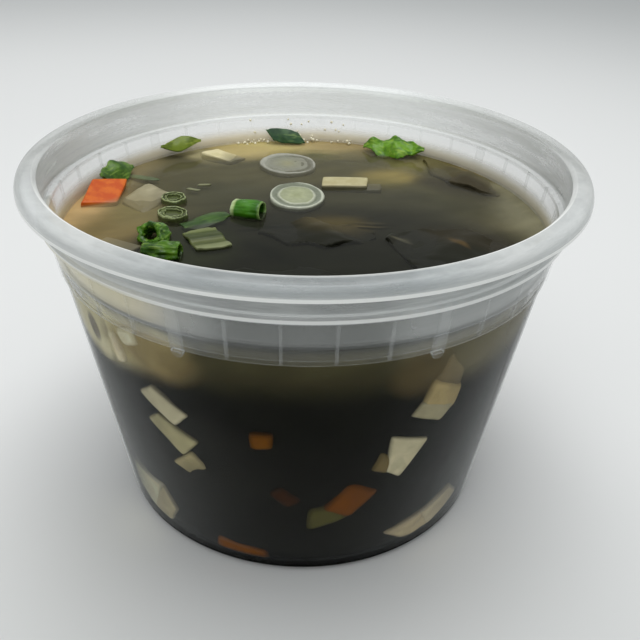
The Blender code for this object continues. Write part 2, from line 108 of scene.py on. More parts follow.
@dataclass(frozen=True)
class TubSize:
    """Driving dimensions of the tub in metres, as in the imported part."""

    height: float = 78 * MM
    rim_radius: float = 58.7 * MM
    base_radius: float = 43 * MM
    taper: float = 0.152
    wall: float = 0.9 * MM
    floor: float = 1.2 * MM
    corner_radius: float = 2.5 * MM
    groove_radii: tuple[float, float] = (33 * MM, 35.2 * MM)
    groove_depth: float = 0.5 * MM
    groove_slope: float = 0.3 * MM
    collar_bottom: float = 59.6 * MM
    collar_top: float = 69 * MM
    collar_step: float = 0.45 * MM
    collar_slope: float = 0.3 * MM
    bead_radius: float = 55.35 * MM
    bead_bottom: float = 69.4 * MM
    bead_top: float = 70.2 * MM
    bead_step: float = 0.4 * MM
    shelf_height: float = 70 * MM
    shelf_slope: float = 0.1 * MM
    neck_radius: float = 55 * MM
    neck_bottom: float = 70.7 * MM
    neck_top: float = 76.2 * MM
    neck_flare: float = 0.25 * MM
    mouth_flare_depth: float = 0.7 * MM
    mouth_edge_depth: float = 0.15 * MM
    crest_radius: float = 55.3 * MM
    lip_edge_height: float = 75.1 * MM
    lip_edge_tuck: float = 0.2 * MM
    lip_exponent: float = 2.7
    soup_level: float = 63.1 * MM

    @property
    def lean(self) -> float:
        """How far the wall leans out, in degrees."""
        return math.degrees(math.atan(self.taper))

    @property
    def inner_corner(self) -> float:
        """Radius of the rounded corner inside the foot."""
        return self.corner_radius - self.wall / 2

    @property
    def collar_foot(self) -> float:
        """Height where the inside has opened out to the collar."""
        return self.collar_bottom + self.collar_step

    def wall_radius(self, height: float) -> float:
        """Outer radius of the plain wall at a height."""
        return self.base_radius + self.taper * height

    def collar_radius(self, height: float) -> float:
        """Outer radius of the collar at a height."""
        return self.wall_radius(height) + self.collar_step

    def inner_radius(self, height: float) -> float:
        """Radius of the inner wall.

        Args:
            height: the height in metres.

        Returns:
            The radius in metres.
        """
        if height > self.shelf_height:
            return self.neck_radius - self.wall
        if height > self.collar_bottom:
            return self.collar_radius(height) - self.wall
        return self.wall_radius(height) - self.wall

    def inside(self, height: float) -> float:
        """Radius of the space inside, with its rounded foot.

        Args:
            height: the height in metres.

        Returns:
            The radius in metres.
        """
        corner = self.inner_corner
        below = self.floor + corner - height
        if below <= 0:
            return self.inner_radius(height)
        return self.inner_radius(self.floor) - corner + math.sqrt(max(0, corner * corner - below * below))


TUB = TubSize()
LEVEL = TUB.soup_level


# ---- node trees


class Tree:
    """Short calls that add nodes to one shader tree."""

    def __init__(self, tree: bpy.types.NodeTree, kitchen: "Kitchen | None" = None) -> None:
        """Keep the tree that the nodes go into, and the shared groups that they may read."""
        self.tree = tree
        self.kitchen = kitchen

    def add(self, kind: str, **settings: object) -> bpy.types.Node:
        """Add a node and set its properties.

        Args:
            kind: the node's type name.
            settings: properties to set on the node.

        Returns:
            The new node.
        """
        node = self.tree.nodes.new(kind)
        for name, value in settings.items():
            setattr(node, name, value)
        return node

    def feed(self, socket: bpy.types.NodeSocket, value: object) -> None:
        """Link a socket into another, or set it to a plain value.

        Args:
            socket: the input to fill.
            value: an output socket, a number, or a tuple.
        """
        if isinstance(value, bpy.types.NodeSocket):
            self.tree.links.new(value, socket)
        elif socket.type == "RGBA":
            socket.default_value = (*value[:3], 1)
        else:
            socket.default_value = value

    def fill(self, node: bpy.types.Node, values: dict[str, object]) -> None:
        """Feed a node's inputs by name."""
        for name, value in values.items():
            self.feed(node.inputs[name], value)

    def math(self, operation: str, *values: object, clamp: bool = False) -> object:
        """Add a Math node.

        Args:
            operation: the operation's name.
            values: what it works on, in order.
            clamp: whether the result is kept between 0 and 1.

        Returns:
            The result socket.
        """
        node = self.add("ShaderNodeMath", operation=operation, use_clamp=clamp)
        for socket, value in zip(node.inputs, values):
            self.feed(socket, value)
        return node.outputs[0]

    def times(self, value: object, *factors: object) -> object:
        """Multiply a value by each factor in turn.

        Args:
            value: the first value.
            factors: what it is multiplied by.

        Returns:
            The product's socket.
        """
        for factor in factors:
            value = self.math("MULTIPLY", value, factor)
        return value

    def mix(self, share: object, first: object, second: object, blend: str = "MIX") -> object:
        """Mix two colours.

        Args:
            share: how much of the second colour shows.
            first: the colour at share 0.
            second: the colour at share 1.
            blend: the blend mode.

        Returns:
            The colour socket.
        """
        node = self.add("ShaderNodeMix", data_type="RGBA", blend_type=blend)
        self.feed(node.inputs[0], share)
        self.feed(node.inputs[6], first)
        self.feed(node.inputs[7], second)
        return node.outputs[2]

    def smooth(self, value: object, low: float, high: float, to_low: float = 0,
               to_high: float = 1) -> object:
        """Map a value smoothly from one range to another.

        Args:
            value: the value to map.
            low: where the result starts to change.
            high: where it stops.
            to_low: the result at low.
            to_high: the result at high.

        Returns:
            The mapped value's socket.
        """
        node = self.add("ShaderNodeMapRange", interpolation_type="SMOOTHSTEP")
        ends = {"From Min": low, "From Max": high, "To Min": to_low, "To Max": to_high}
        self.fill(node, {"Value": value, **ends})
        return node.outputs["Result"]

    def noise(self, place: object, scale: object, detail: float = 3, rough: float = 0.55,
              distortion: float = 0) -> object:
        """Add a noise texture.

        Args:
            place: the coordinates to read, in metres.
            scale: how many patches there are in a metre.
            detail: how many finer layers are added.
            rough: how strong the finer layers are.
            distortion: how far the pattern is pushed about.

        Returns:
            The noise's value socket.
        """
        node = self.add("ShaderNodeTexNoise")
        layers = {"Detail": detail, "Roughness": rough, "Distortion": distortion}
        self.fill(node, {"Vector": place, "Scale": scale, **layers})
        return node.outputs["Fac"]

    def place(self) -> object:
        """Object coordinates, which are the frame's own because every piece sits at the origin."""
        return self.add("ShaderNodeTexCoord").outputs["Object"]

    def mapped(self, place: object, centre: Point, turn: float, size: Point) -> object:
        """Centre, turn and scale a pattern on a piece.

        Args:
            place: the coordinates to start from.
            centre: the pattern's centre in metres.
            turn: its turn about Z in degrees.
            size: its unit size along its own axes in metres.

        Returns:
            The mapped coordinates' socket.
        """
        node = self.add("ShaderNodeMapping", vector_type="TEXTURE")
        rotation = (0, 0, math.radians(turn))
        self.fill(node, {"Vector": place, "Location": centre, "Rotation": rotation, "Scale": size})
        return node.outputs["Vector"]

    def length(self, place: object) -> object:
        """Length of a vector.

        Args:
            place: the vector.

        Returns:
            The length's socket.
        """
        node = self.add("ShaderNodeVectorMath", operation="LENGTH")
        self.feed(node.inputs[0], place)
        return node.outputs["Value"]

    def split(self, place: object) -> tuple[object, object, object]:
        """Take a vector apart.

        Args:
            place: the vector.

        Returns:
            The sockets of its X, Y and Z.
        """
        node = self.add("ShaderNodeSeparateXYZ")
        self.feed(node.inputs[0], place)
        return tuple(node.outputs)

    def join(self, first: object, second: object, third: object = 0) -> object:
        """Make a vector of three values.

        Args:
            first: its X.
            second: its Y.
            third: its Z.

        Returns:
            The vector's socket.
        """
        node = self.add("ShaderNodeCombineXYZ")
        for socket, value in zip(node.inputs, (first, second, third)):
            self.feed(socket, value)
        return node.outputs[0]

    def bump(self, height: object, strength: float, distance: float) -> object:
        """A normal that follows a height pattern.

        Args:
            height: the pattern.
            strength: how strongly it shows.
            distance: the height in metres that the value 1 stands for.

        Returns:
            The normal's socket.
        """
        node = self.add("ShaderNodeBump")
        self.fill(node, {"Strength": strength, "Distance": distance, "Height": height})
        return node.outputs["Normal"]

    def edge_on(self, power: float) -> object:
        """How far a face is seen edge on.

        Args:
            power: how quickly it falls off as the face turns to the eye.

        Returns:
            A value from 0 for a face that faces the eye to 1.
        """
        node = self.add("ShaderNodeLayerWeight")
        node.inputs["Blend"].default_value = 0.5
        return self.math("POWER", node.outputs["Facing"], power)


def new_group(name: str, inputs: dict[str, str], outputs: dict[str, str]) -> tuple[bpy.types.NodeTree, Tree]:
    """Start a shader node group with named sockets.

    Args:
        name: the group's name.
        inputs: socket type names by input name.
        outputs: socket type names by output name.

    Returns:
        The group and the calls that add nodes to it.
    """
    group = bpy.data.node_groups.new(name, "ShaderNodeTree")
    for label, kind in inputs.items():
        group.interface.new_socket(name=label, in_out="INPUT", socket_type=kind)
    for label, kind in outputs.items():
        group.interface.new_socket(name=label, in_out="OUTPUT", socket_type=kind)
    return group, Tree(group)


# ---- the broth's colour and its murk


@dataclass(frozen=True)
class Tint:
    """A soft patch of colour seen in the broth: on its surface in mm, or on its wall in degrees and mm."""

    across: float
    along: float
    reach_across: float
    reach_along: float
    colour: Colour
    turn: float = 0
    share: float = 1
    soft: float = 0.4


SURFACE_BASE = srgb(82, 78, 55)
SURFACE_TINTS = (
    Tint(-9, 56, 27, 12, srgb(196, 182, 126), soft=0.35),
    Tint(-17, 43.5, 9, 4.5, srgb(182, 166, 114), soft=0.5, share=0.9),
    Tint(8, 54, 17, 9, srgb(152, 134, 96), soft=0.35, share=0.8),
    Tint(-54, -3, 13, 24, srgb(186, 158, 112), soft=0.5),
    Tint(-47, 26, 8, 14, srgb(140, 128, 96), -30, soft=0.5, share=0.8),
    Tint(-41, -10, 8, 13, srgb(122, 107, 70), soft=0.5),
    Tint(-37, 4, 6.5, 7, srgb(126, 116, 78), soft=0.6, share=0.8),
    Tint(-32, 42, 11, 3.5, srgb(156, 148, 112), -28, soft=0.4),
    Tint(42, 2, 8, 18, srgb(86, 81, 60), soft=0.7),
    Tint(54, 12, 11, 24, srgb(128, 124, 101), soft=0.5),
    Tint(4.5, 43, 5, 2.5, srgb(92, 90, 54), soft=0.4),
    Tint(11, 43.5, 6, 2.5, srgb(116, 108, 76), soft=0.5, share=0.7),
    Tint(21, 28.5, 7, 4.2, srgb(138, 124, 74), soft=0.6),
    Tint(30, 37, 9, 4, srgb(108, 102, 62), soft=0.5, share=0.9),
    Tint(17, 24, 6.5, 3.5, srgb(112, 104, 64), soft=0.5, share=0.8),
    Tint(37, 21, 10.5, 5.5, srgb(60, 56, 43), -32, soft=0.4),
    Tint(40.5, 33.5, 12, 1.8, srgb(92, 80, 48), -52, soft=0.4, share=0.9),
    Tint(41, 31, 5, 1.4, srgb(128, 116, 78), -40, soft=0.4, share=0.8),
    Tint(8, 9, 36, 12, srgb(62, 61, 47), soft=0.45, share=0.9),
    Tint(-20, 14, 10, 9, srgb(68, 67, 49), soft=0.5, share=0.8),
    Tint(6, -28, 47, 36, srgb(41, 41, 33), soft=0.15),
    Tint(6, -3, 6.5, 5, srgb(84, 74, 44), soft=0.6, share=0.9),
    Tint(0, -34, 42, 27, srgb(31, 32, 25), soft=0.3),
    Tint(36, -9, 12, 5, srgb(50, 45, 31), -30, soft=0.4, share=0.7),
    Tint(-24, -12, 9, 12, srgb(46, 50, 33), soft=0.5, share=0.7),
    # A fold in the sunk seaweed: a painted shade line along its crease and a painted highlight line just
    # above it.
    Tint(13.2, -3.7, 4.6, 0.6, srgb(22, 22, 16), soft=0.5),
    Tint(13.2, -2.8, 4.2, 0.4, srgb(84, 76, 54), soft=0.5, share=0.8),
    Tint(19.6, -10.2, 2.4, 0.5, srgb(84, 82, 66), -18, soft=0.5, share=0.9),
    Tint(32.2, -12.4, 3.2, 0.8, srgb(84, 68, 42), -63, soft=0.5, share=0.9),
    Tint(-8.5, -4.8, 6.6, 0.9, srgb(22, 24, 18), soft=0.5, share=0.8),
    Tint(-7.1, -16.2, 6.5, 2, srgb(24, 26, 20), -42, soft=0.5, share=0.8),
)
WALL_BASE = srgb(20, 20, 16)
WALL_TINTS = (
    Tint(0, 63, 90, 10, srgb(78, 74, 52), soft=0.6),
    Tint(-50, 60, 24, 12, srgb(190, 182, 143), soft=0.2),
    Tint(-34, 54.5, 11, 5.5, srgb(136, 120, 82), share=0.9),
    Tint(42, 60, 20, 11, srgb(108, 102, 80)),
    Tint(26, 53, 7, 5, srgb(88, 76, 50), share=0.8),
    Tint(-51.5, 54, 2.2, 3.2, srgb(96, 88, 72), soft=0.3),
    Tint(-25, 26, 16, 14, srgb(34, 34, 31), share=0.7),
)
FADE_LENGTH = 0.5 * MM
TURN_TO_WALL = 3 * MM
WANDER = 5 * MM
WANDER_SCALE = 70


class Broth:
    """The node group that gives the broth's colour and how far it hides what lies in it."""

    def __init__(self) -> None:
        """Build the group."""
        self.group, tree = new_group(
            "BrothMurk",
            {"Place": "NodeSocketVector", "Clearness": "NodeSocketFloat", "Wetting": "NodeSocketFloat"},
            {"Colour": "NodeSocketColor", "Fade": "NodeSocketFloat"},
        )
        start = tree.add("NodeGroupInput").outputs
        x, y, z = tree.split(start["Place"])
        depth = tree.math("SUBTRACT", LEVEL, z)
        wall_at = tree.math("MULTIPLY_ADD", z, TUB.taper, TUB.base_radius - TUB.wall)
        behind = tree.math("SUBTRACT", wall_at, tree.length(tree.join(x, y)))
        wetted = tree.math("ADD", depth, start["Wetting"])
        nearest = tree.math("MAXIMUM", tree.math("MINIMUM", wetted, behind), 0)
        reach = tree.times(start["Clearness"], -FADE_LENGTH)
        left = tree.math("EXPONENT", tree.math("DIVIDE", nearest, reach))
        below = tree.math("SUBTRACT", depth, tree.math("MAXIMUM", behind, 0))
        turned_to_wall = tree.smooth(below, 0, TURN_TO_WALL)
        texture = tree.add("ShaderNodeTexNoise")
        tree.fill(texture, {"Vector": start["Place"], "Scale": WANDER_SCALE})
        wandered = tree.add("ShaderNodeVectorMath", operation="MULTIPLY_ADD")
        parts = (texture.outputs["Color"], (WANDER, WANDER, 0), start["Place"])
        for socket, value in zip(wandered.inputs, parts):
            tree.feed(socket, value)
        origin = (WANDER / 2, WANDER / 2, LEVEL)
        surface = self.patched(tree, wandered.outputs[0], SURFACE_BASE, SURFACE_TINTS, origin)
        azimuth = tree.math("ARCTAN2", x, tree.times(y, -1))
        unrolled = tree.join(tree.times(azimuth, math.degrees(1) * MM), z)
        wall = self.patched(tree, unrolled, WALL_BASE, WALL_TINTS, (0, 0, 0))
        tree.fill(tree.add("NodeGroupOutput"), {
            "Colour": tree.mix(turned_to_wall, surface, wall),
            "Fade": tree.math("SUBTRACT", 1, left, clamp=True),
        })

    @staticmethod
    def patched(tree: Tree, place: object, base: Colour, tints: tuple[Tint, ...],
                origin: Point) -> object:
        """Lay soft patches over a base colour.

        Args:
            tree: the group's nodes.
            place: the coordinates to read.
            base: the colour where there is no patch.
            tints: the patches, the last one on top.
            origin: the place that the patches are measured from.

        Returns:
            The colour's socket.
        """
        colour: object = base
        for tint in tints:
            centre = (tint.across * MM + origin[0], tint.along * MM + origin[1], origin[2])
            size = (tint.reach_across * MM, tint.reach_along * MM, 1)
            away = tree.length(tree.mapped(place, centre, tint.turn, size))
            share = tree.smooth(away, 1 + tint.soft, 1 - tint.soft, 0, tint.share)
            colour = tree.mix(share, colour, tint.colour)
        return colour

    def read(self, tree: Tree, clearness: float = 1, wetting: float = 0) -> tuple[object, object]:
        """Place the group in a material.

        Args:
            tree: the material's nodes.
            clearness: how many times further than usual the eye sees into the broth.
            wetting: how far broth creeps up what breaks the surface, in mm.

        Returns:
            The broth's colour and fade sockets.
        """
        node = tree.add("ShaderNodeGroup", node_tree=self.group)
        tree.fill(node, {"Place": tree.place(), "Clearness": clearness, "Wetting": wetting * MM})
        return node.outputs["Colour"], node.outputs["Fade"]

    def soaked(self, tree: Tree, own: object, clearness: float, wetting: float, soak: float) -> object:
        """A food's own colour as it looks in the broth.

        Args:
            tree: the material's nodes.
            own: the food's colour.
            clearness: how many times further than usual the eye sees into the broth.
            wetting: how far broth creeps up it, in mm.
            soak: the least share of the broth's colour.

        Returns:
            The mixed colour's socket.
        """
        colour, fade = self.read(tree, clearness, wetting)
        return tree.mix(tree.math("MULTIPLY_ADD", fade, 1 - soak, soak), own, colour)


class Speckle:
    """The node group for small blotches of a second colour, used on food of every kind."""

    def __init__(self) -> None:
        """Build the group."""
        self.group, tree = new_group(
            "Speckle",
            {
                "Place": "NodeSocketVector",
                "Scale": "NodeSocketFloat",
                "First": "NodeSocketColor",
                "Second": "NodeSocketColor",
                "Cover": "NodeSocketFloat",
            },
            {"Colour": "NodeSocketColor", "Mask": "NodeSocketFloat"},
        )
        start = tree.add("NodeGroupInput").outputs
        blotches = tree.noise(start["Place"], start["Scale"], 4, 0.6)
        raised = tree.math("ADD", blotches, tree.math("SUBTRACT", start["Cover"], 0.5))
        mask = tree.smooth(raised, 0.38, 0.62)
        colour = tree.mix(mask, start["First"], start["Second"])
        tree.fill(tree.add("NodeGroupOutput"), {"Colour": colour, "Mask": mask})

    def read(self, tree: Tree, place: object, scale: float, first: object, second: object,
             cover: float = 0.5) -> tuple[object, object]:
        """Place the group in a material.

        Args:
            tree: the material's nodes.
            place: the coordinates to read.
            scale: how many blotches there are in a metre.
            first: the ground colour.
            second: the blotches' colour.
            cover: the share that the blotches take.

        Returns:
            The mixed colour and the blotches' mask.
        """
        node = tree.add("ShaderNodeGroup", node_tree=self.group)
        tree.fill(node, {"Place": place, "Scale": scale, "First": first, "Second": second, "Cover": cover})
        return node.outputs["Colour"], node.outputs["Mask"]


# ---- finishes


@dataclass(frozen=True)
class Kitchen:
    """The node groups that the finishes share."""

    broth: Broth
    speckle: Speckle


def ramp(tree: Tree, share: object, stops: Stops) -> object:
    """Colour ramp.

    Args:
        tree: the material's nodes.
        share: the socket that picks the colour.
        stops: places from 0 to 1 with their colours.

    Returns:
        The colour's socket.
    """
    node = tree.add("ShaderNodeValToRGB")
    tree.feed(node.inputs["Fac"], share)
    elements = node.color_ramp.elements
    for element, (place, colour) in zip(elements, (stops[0], stops[-1])):
        element.position = place
        element.color = (*colour, 1)
    for place, colour in stops[1:-1]:
        elements.new(place).color = (*colour, 1)
    return node.outputs["Color"]


@dataclass(frozen=True)
class Finish:
    """What every finish shares: it starts a material and fills in its one Principled shader."""

    name: str

    def inputs(self, tree: Tree) -> dict[str, object]:
        """What feeds the shader.

        Args:
            tree: the material's nodes.

        Returns:
            Sockets and plain values by input name.
        """
        raise NotImplementedError

    def build(self, kitchen: Kitchen) -> bpy.types.Material:
        """Build the material.

        Args:
            kitchen: the shared node groups.

        Returns:
            The finished material.
        """
        material = bpy.data.materials.new(self.name)
        material.use_nodes = True
        tree = Tree(material.node_tree, kitchen)
        tree.fill(material.node_tree.nodes["Principled BSDF"], self.inputs(tree))
        return material


class Where:
    """Sockets for a place on a piece: across, away from the viewer, up, and out from the axis."""

    def __init__(self, tree: Tree) -> None:
        """Read the coordinates and split them."""
        self.place = tree.place()
        self.x, self.y, self.height = tree.split(self.place)
        self.out = tree.length(tree.join(self.x, self.y))


@dataclass(frozen=True)
class HighlightBand:
    """A narrow moulded edge with a painted highlight, as a whiter, more opaque band of plastic: its heights
    and radii in mm.
    """

    low: float
    high: float
    inner: float
    outer: float
    haze: float
    soft: float = 0.2
    side_soft: float = 0.1
    near: bool = False
    near_span: Span = (5 * MM, -40 * MM)
    far_share: float = 0.12

    def mask(self, tree: Tree, where: Where) -> object:
        """How strongly the band shows at a place.

        Args:
            tree: the material's nodes.
            where: the place.

        Returns:
            The band's haze, which carries its painted highlight.
        """
        side = self.side_soft
        above = tree.smooth(where.height, (self.low - self.soft) * MM, self.low * MM)
        below = tree.smooth(where.height, (self.high + self.soft) * MM, self.high * MM)
        outside = tree.smooth(where.out, (self.inner - side) * MM, (self.inner + side) * MM, 0, self.haze)
        inside = tree.smooth(where.out, (self.outer + side) * MM, (self.outer - side) * MM)
        if self.near:
            above = tree.times(above, tree.smooth(where.y, *self.near_span, self.far_share, 1))
        return tree.times(tree.times(above, below), tree.times(outside, inside))


@dataclass(frozen=True)
class ClearPlastic(Finish):
    """Thin moulded polypropylene: clear against the soup, milky where it is dry or seen edge on, with
    painted highlights, shade, reflection and glow.

    Its spans are in metres, and what each one masks comes up from the first place to the second.
    """

    name: str = "clear_plastic"
    tint: Colour = srgb(217, 221, 222)
    clouded: Colour = srgb(212, 214, 212)
    # Colour of the painted highlight bands.
    lit_edge: Colour = srgb(248, 249, 247)
    wet_haze: float = 0.002
    veil_haze: float = 0.07
    dry_haze: float = 0.17
    rim_haze: float = 0.44
    # How many times the haze is raised on the near wall's sides, as painted light.
    side_gain: float = 2.2
    side_haze: float = 0.64
    side_power: float = 5.2
    line_haze: float = 0.9
    line_power: float = 30
    near: Span = (0, -14 * MM)
    beside: Span = (8 * MM, 24 * MM)
    warm_haze: float = 0.5
    warm_share: float = 0.7
    warm_tint: Colour = srgb(214, 208, 176)
    warm_left: Span = (-20 * MM, -36 * MM)
    warm_foot: Span = (LEVEL, LEVEL + 1.5 * MM)
    # Painted reflection of the soup in the inner wall above it, with a painted glow of its own.
    mirror_haze: float = 0.9
    mirror_share: float = 0.85
    mirror_glow: float = 0.25
    mirror_tint: Colour = srgb(198, 184, 147)
    mirror_right: Colour = srgb(185, 175, 144)
    mirror_turn: Span = (-20 * MM, 45 * MM)
    end_shade: Colour = srgb(216, 216, 214)
    end_side: Span = (16 * MM, 52 * MM)
    end_back: Span = (-35 * MM, 5 * MM)
    lip_shade: Colour = srgb(212, 216, 218)
    lip_near: Span = (-28 * MM, -50 * MM)
    lip_out: Span = (55.4 * MM, 56 * MM)
    lip_height: Span = (75.8 * MM, 76.2 * MM)
    lip_side: Span = (34 * MM, 14 * MM)
    # Painted glow: the far wall just above the soup emits light, standing in for light that comes through
    # the plastic from behind.
    glow: float = 0.3
    glow_back: Span = (-10 * MM, 42 * MM)
    glow_height: Span = (LEVEL, LEVEL + 2.5 * MM)
    # Painted highlights: narrow bands on the bead, the lip's edge, the near crest and the collar's foot are
    # whiter and more opaque.
    bands: tuple[HighlightBand, ...] = (
        HighlightBand(69.45, 70, 54.8, 56, 0.85),
        HighlightBand(74.8, 75.7, 58, 59.5, 0.92),
        HighlightBand(77.3, 78.5, 54.2, 55.25, 0.9, near=True),
        HighlightBand(59.35, 59.6, 51.6, 53, 0.4, 0.12),
    )

    def inputs(self, tree: Tree) -> dict[str, object]:
        """What feeds the shader.

        Args:
            tree: the material's nodes.

        Returns:
            Sockets and plain values by input name.
        """
        where = Where(tree)
        streaks = tree.mapped(where.place, (0, 0, 0), 0, (6, 6, 0.6))
        mottle = tree.noise(streaks, 220, 5, 0.65)
        near = tree.smooth(where.y, *self.near)
        warm = tree.times(
            tree.smooth(where.x, *self.warm_left), near, tree.smooth(where.height, *self.warm_foot),
            tree.smooth(where.height, TUB.bead_top, TUB.bead_bottom),
        )
        # Painted highlight bands, shown in the lit_edge colour.
        bright: object = 0
        for band in self.bands:
            bright = tree.math("MAXIMUM", bright, band.mask(tree, where))
        mirror = self.mirror(tree, where)
        level = tree.math("MAXIMUM", self.walls(tree, where, near, mottle), tree.times(warm, self.warm_haze))
        level = tree.math("MAXIMUM", level, bright)
        level = tree.math("MAXIMUM", level, tree.times(mirror, self.mirror_haze))
        milky = tree.mix(bright, tree.mix(mottle, self.tint, self.clouded), self.lit_edge)
        # Painted reflection of the soup where the mirror mask is.
        shown = tree.mix(tree.smooth(where.x, *self.mirror_turn), self.mirror_tint, self.mirror_right)
        milky = tree.mix(tree.times(mirror, self.mirror_share), milky, shown)
        milky = tree.mix(tree.times(warm, self.warm_share), milky, self.warm_tint)
        milky = self.shaded(tree, where, milky)
        # Painted glow of the far wall and of the painted reflection, fed to the emission.
        behind = tree.smooth(where.y, *self.glow_back, 0, self.glow)
        behind = tree.math("MAXIMUM", behind, tree.times(mirror, self.mirror_glow))
        lit = tree.times(behind, tree.smooth(where.height, *self.glow_height))
        return {
            "Alpha": tree.math("ADD", level, self.edges(tree), clamp=True),
            "Base Color": milky,
            "Emission Color": tree.mix(lit, (0, 0, 0), milky),
            "Emission Strength": 1,
            "Roughness": tree.smooth(mottle, 0.3, 0.7, 0.16, 0.24),
            "IOR": 1.49,
            "Normal": tree.bump(mottle, 0.03, 0.1 * MM),
        }

    def walls(self, tree: Tree, where: Where, near: object, mottle: object) -> object:
        """Haze of the wall by height: almost none when wet, more in the collar, most in the rim, and raised
        on the near wall's two sides as painted light.

        Args:
            tree: the material's nodes.
            where: the place.
            near: the mask of the near half.
            mottle: the pattern that makes the haze uneven.

        Returns:
            The haze.
        """
        foot = TUB.collar_bottom
        veil = tree.smooth(where.height, foot - 0.3 * MM, foot, self.wet_haze, self.veil_haze)
        line = 0.2 * MM
        dry = tree.smooth(where.height, LEVEL - line, LEVEL + line, 0, self.dry_haze - self.veil_haze)
        bead = TUB.bead_bottom
        rim = tree.smooth(where.height, bead - 0.6 * MM, bead, 0, self.rim_haze - self.dry_haze)
        swing = tree.smooth(where.height, bead, TUB.bead_top, 0.1, 0.3)
        uneven = tree.math("MULTIPLY_ADD", tree.smooth(mottle, 0.3, 0.7, -1, 1), swing, 1)
        # Painted light: the haze is raised on both sides of the near wall to make them lighter.
        beside = tree.times(tree.smooth(tree.math("ABSOLUTE", where.x), *self.beside), near)
        gain = tree.smooth(beside, 0, 1, 1, self.side_gain)
        collar = tree.times(tree.math("ADD", veil, dry), gain)
        return tree.times(tree.math("ADD", collar, rim), uneven)

    def shaded(self, tree: Tree, where: Where, milky: object) -> object:
        """Darken the plastic a little at the tub's two sides and on the near lip.

        Args:
            tree: the material's nodes.
            where: the place.
            milky: the plastic's colour.

        Returns:
            The shaded colour.
        """
        side = tree.math("ABSOLUTE", where.x)
        ends = tree.times(tree.smooth(side, *self.end_side), tree.smooth(where.y, *self.end_back))
        milky = tree.mix(ends, milky, tree.mix(1, milky, self.end_shade, "MULTIPLY"))
        lip = tree.times(
            tree.smooth(where.y, *self.lip_near), tree.smooth(where.out, *self.lip_out),
            tree.smooth(where.height, *self.lip_height), tree.smooth(side, *self.lip_side),
        )
        return tree.mix(lip, milky, tree.mix(1, milky, self.lip_shade, "MULTIPLY"))

    def edges(self, tree: Tree) -> object:
        """Haze of faces seen edge on: a wide faint part and a thin bright line."""
        wide = tree.times(tree.edge_on(self.side_power), self.side_haze)
        return tree.math("ADD", wide, tree.times(tree.edge_on(self.line_power), self.line_haze))

    @staticmethod
    def mirror(tree: Tree, where: Where) -> object:
        """Mask of the inner wall above the soup, where a painted reflection of the soup shows in the wall.

        Args:
            tree: the material's nodes.
            where: the place.

        Returns:
            The mask.
        """
        inner_face = TUB.base_radius + TUB.collar_step - TUB.wall
        wall_at = tree.math("MULTIPLY_ADD", where.height, TUB.taper, inner_face)
        inner = tree.smooth(tree.math("SUBTRACT", where.out, wall_at), 0.5 * MM, 0.3 * MM)
        low = tree.smooth(where.height, LEVEL + 5.5 * MM, LEVEL + 1 * MM)
        far = tree.smooth(where.y, -22 * MM, -6 * MM)
        tall = tree.smooth(where.height, LEVEL + 8.5 * MM, LEVEL + 4.5 * MM)
        left = tree.times(tree.smooth(where.x, -13 * MM, -30 * MM), tree.smooth(where.y, 0, -12 * MM))
        seen = tree.math("MAXIMUM", tree.times(low, far), tree.times(tall, left))
        return tree.times(inner, seen, tree.smooth(where.height, LEVEL - 0.2 * MM, LEVEL))


@dataclass(frozen=True)
class FootPlastic(Finish):
    """The foot of the tub, where only the dark soup behind it shows."""

    name: str = "foot_plastic"
    dark: Colour = srgb(20, 20, 17)
    light: Colour = srgb(30, 30, 27)
    top: float = 2.2 * MM
    full: float = 1.2 * MM

    def inputs(self, tree: Tree) -> dict[str, object]:
        """What feeds the shader.

        Args:
            tree: the material's nodes.

        Returns:
            Sockets and plain values by input name.
        """
        where = Where(tree)
        mottle = tree.smooth(tree.noise(where.place, 90, 4, 0.6), 0.35, 0.65)
        return {
            "Base Color": tree.mix(mottle, self.dark, self.light),
            "Alpha": tree.smooth(where.height, self.top, self.full, 0.03, 0.97),
            "Roughness": 0.7,
            "Specular IOR Level": 0,
        }


@dataclass(frozen=True)
class BrothFilm(Finish):
    """The soup's own outer face: a faint veil with a wet gloss."""

    name: str = "broth_film"
    veil: float = 0.16
    side_veil: float = 0.02
    edge_power: float = 3
    top: Span = (LEVEL - 1.2 * MM, LEVEL - 0.4 * MM)

    def inputs(self, tree: Tree) -> dict[str, object]:
        """What feeds the shader.

        Args:
            tree: the material's nodes.

        Returns:
            Sockets and plain values by input name.
        """
        where = Where(tree)
        colour, _ = tree.kitchen.broth.read(tree)
        top = tree.smooth(where.height, *self.top)
        edge = tree.times(tree.edge_on(self.edge_power), top)
        veil = tree.math("MULTIPLY_ADD", top, self.veil - self.side_veil, self.side_veil)
        ripple = tree.noise(where.place, 220, 2, 0.4)
        return {
            "Base Color": colour,
            "Alpha": tree.math("ADD", veil, edge, clamp=True),
            "IOR": 1.34,
            "Roughness": tree.smooth(ripple, 0.2, 0.8, 0.05, 0.12),
            "Normal": tree.bump(ripple, 0.15, 0.2 * MM),
        }


@dataclass(frozen=True)
class BrothSide(Finish):
    """The soup's face against the wall: no gloss, and dark where it is seen edge on."""

    name: str = "broth_side"
    least: float = 0.02
    power: float = 4

    def inputs(self, tree: Tree) -> dict[str, object]:
        """What feeds the shader.

        Args:
            tree: the material's nodes.

        Returns:
            Sockets and plain values by input name.
        """
        return {
            "Base Color": tree.kitchen.broth.read(tree)[0],
            "Alpha": tree.math("ADD", tree.edge_on(self.power), self.least, clamp=True),
            "Roughness": 0.9,
            "Specular IOR Level": 0,
        }


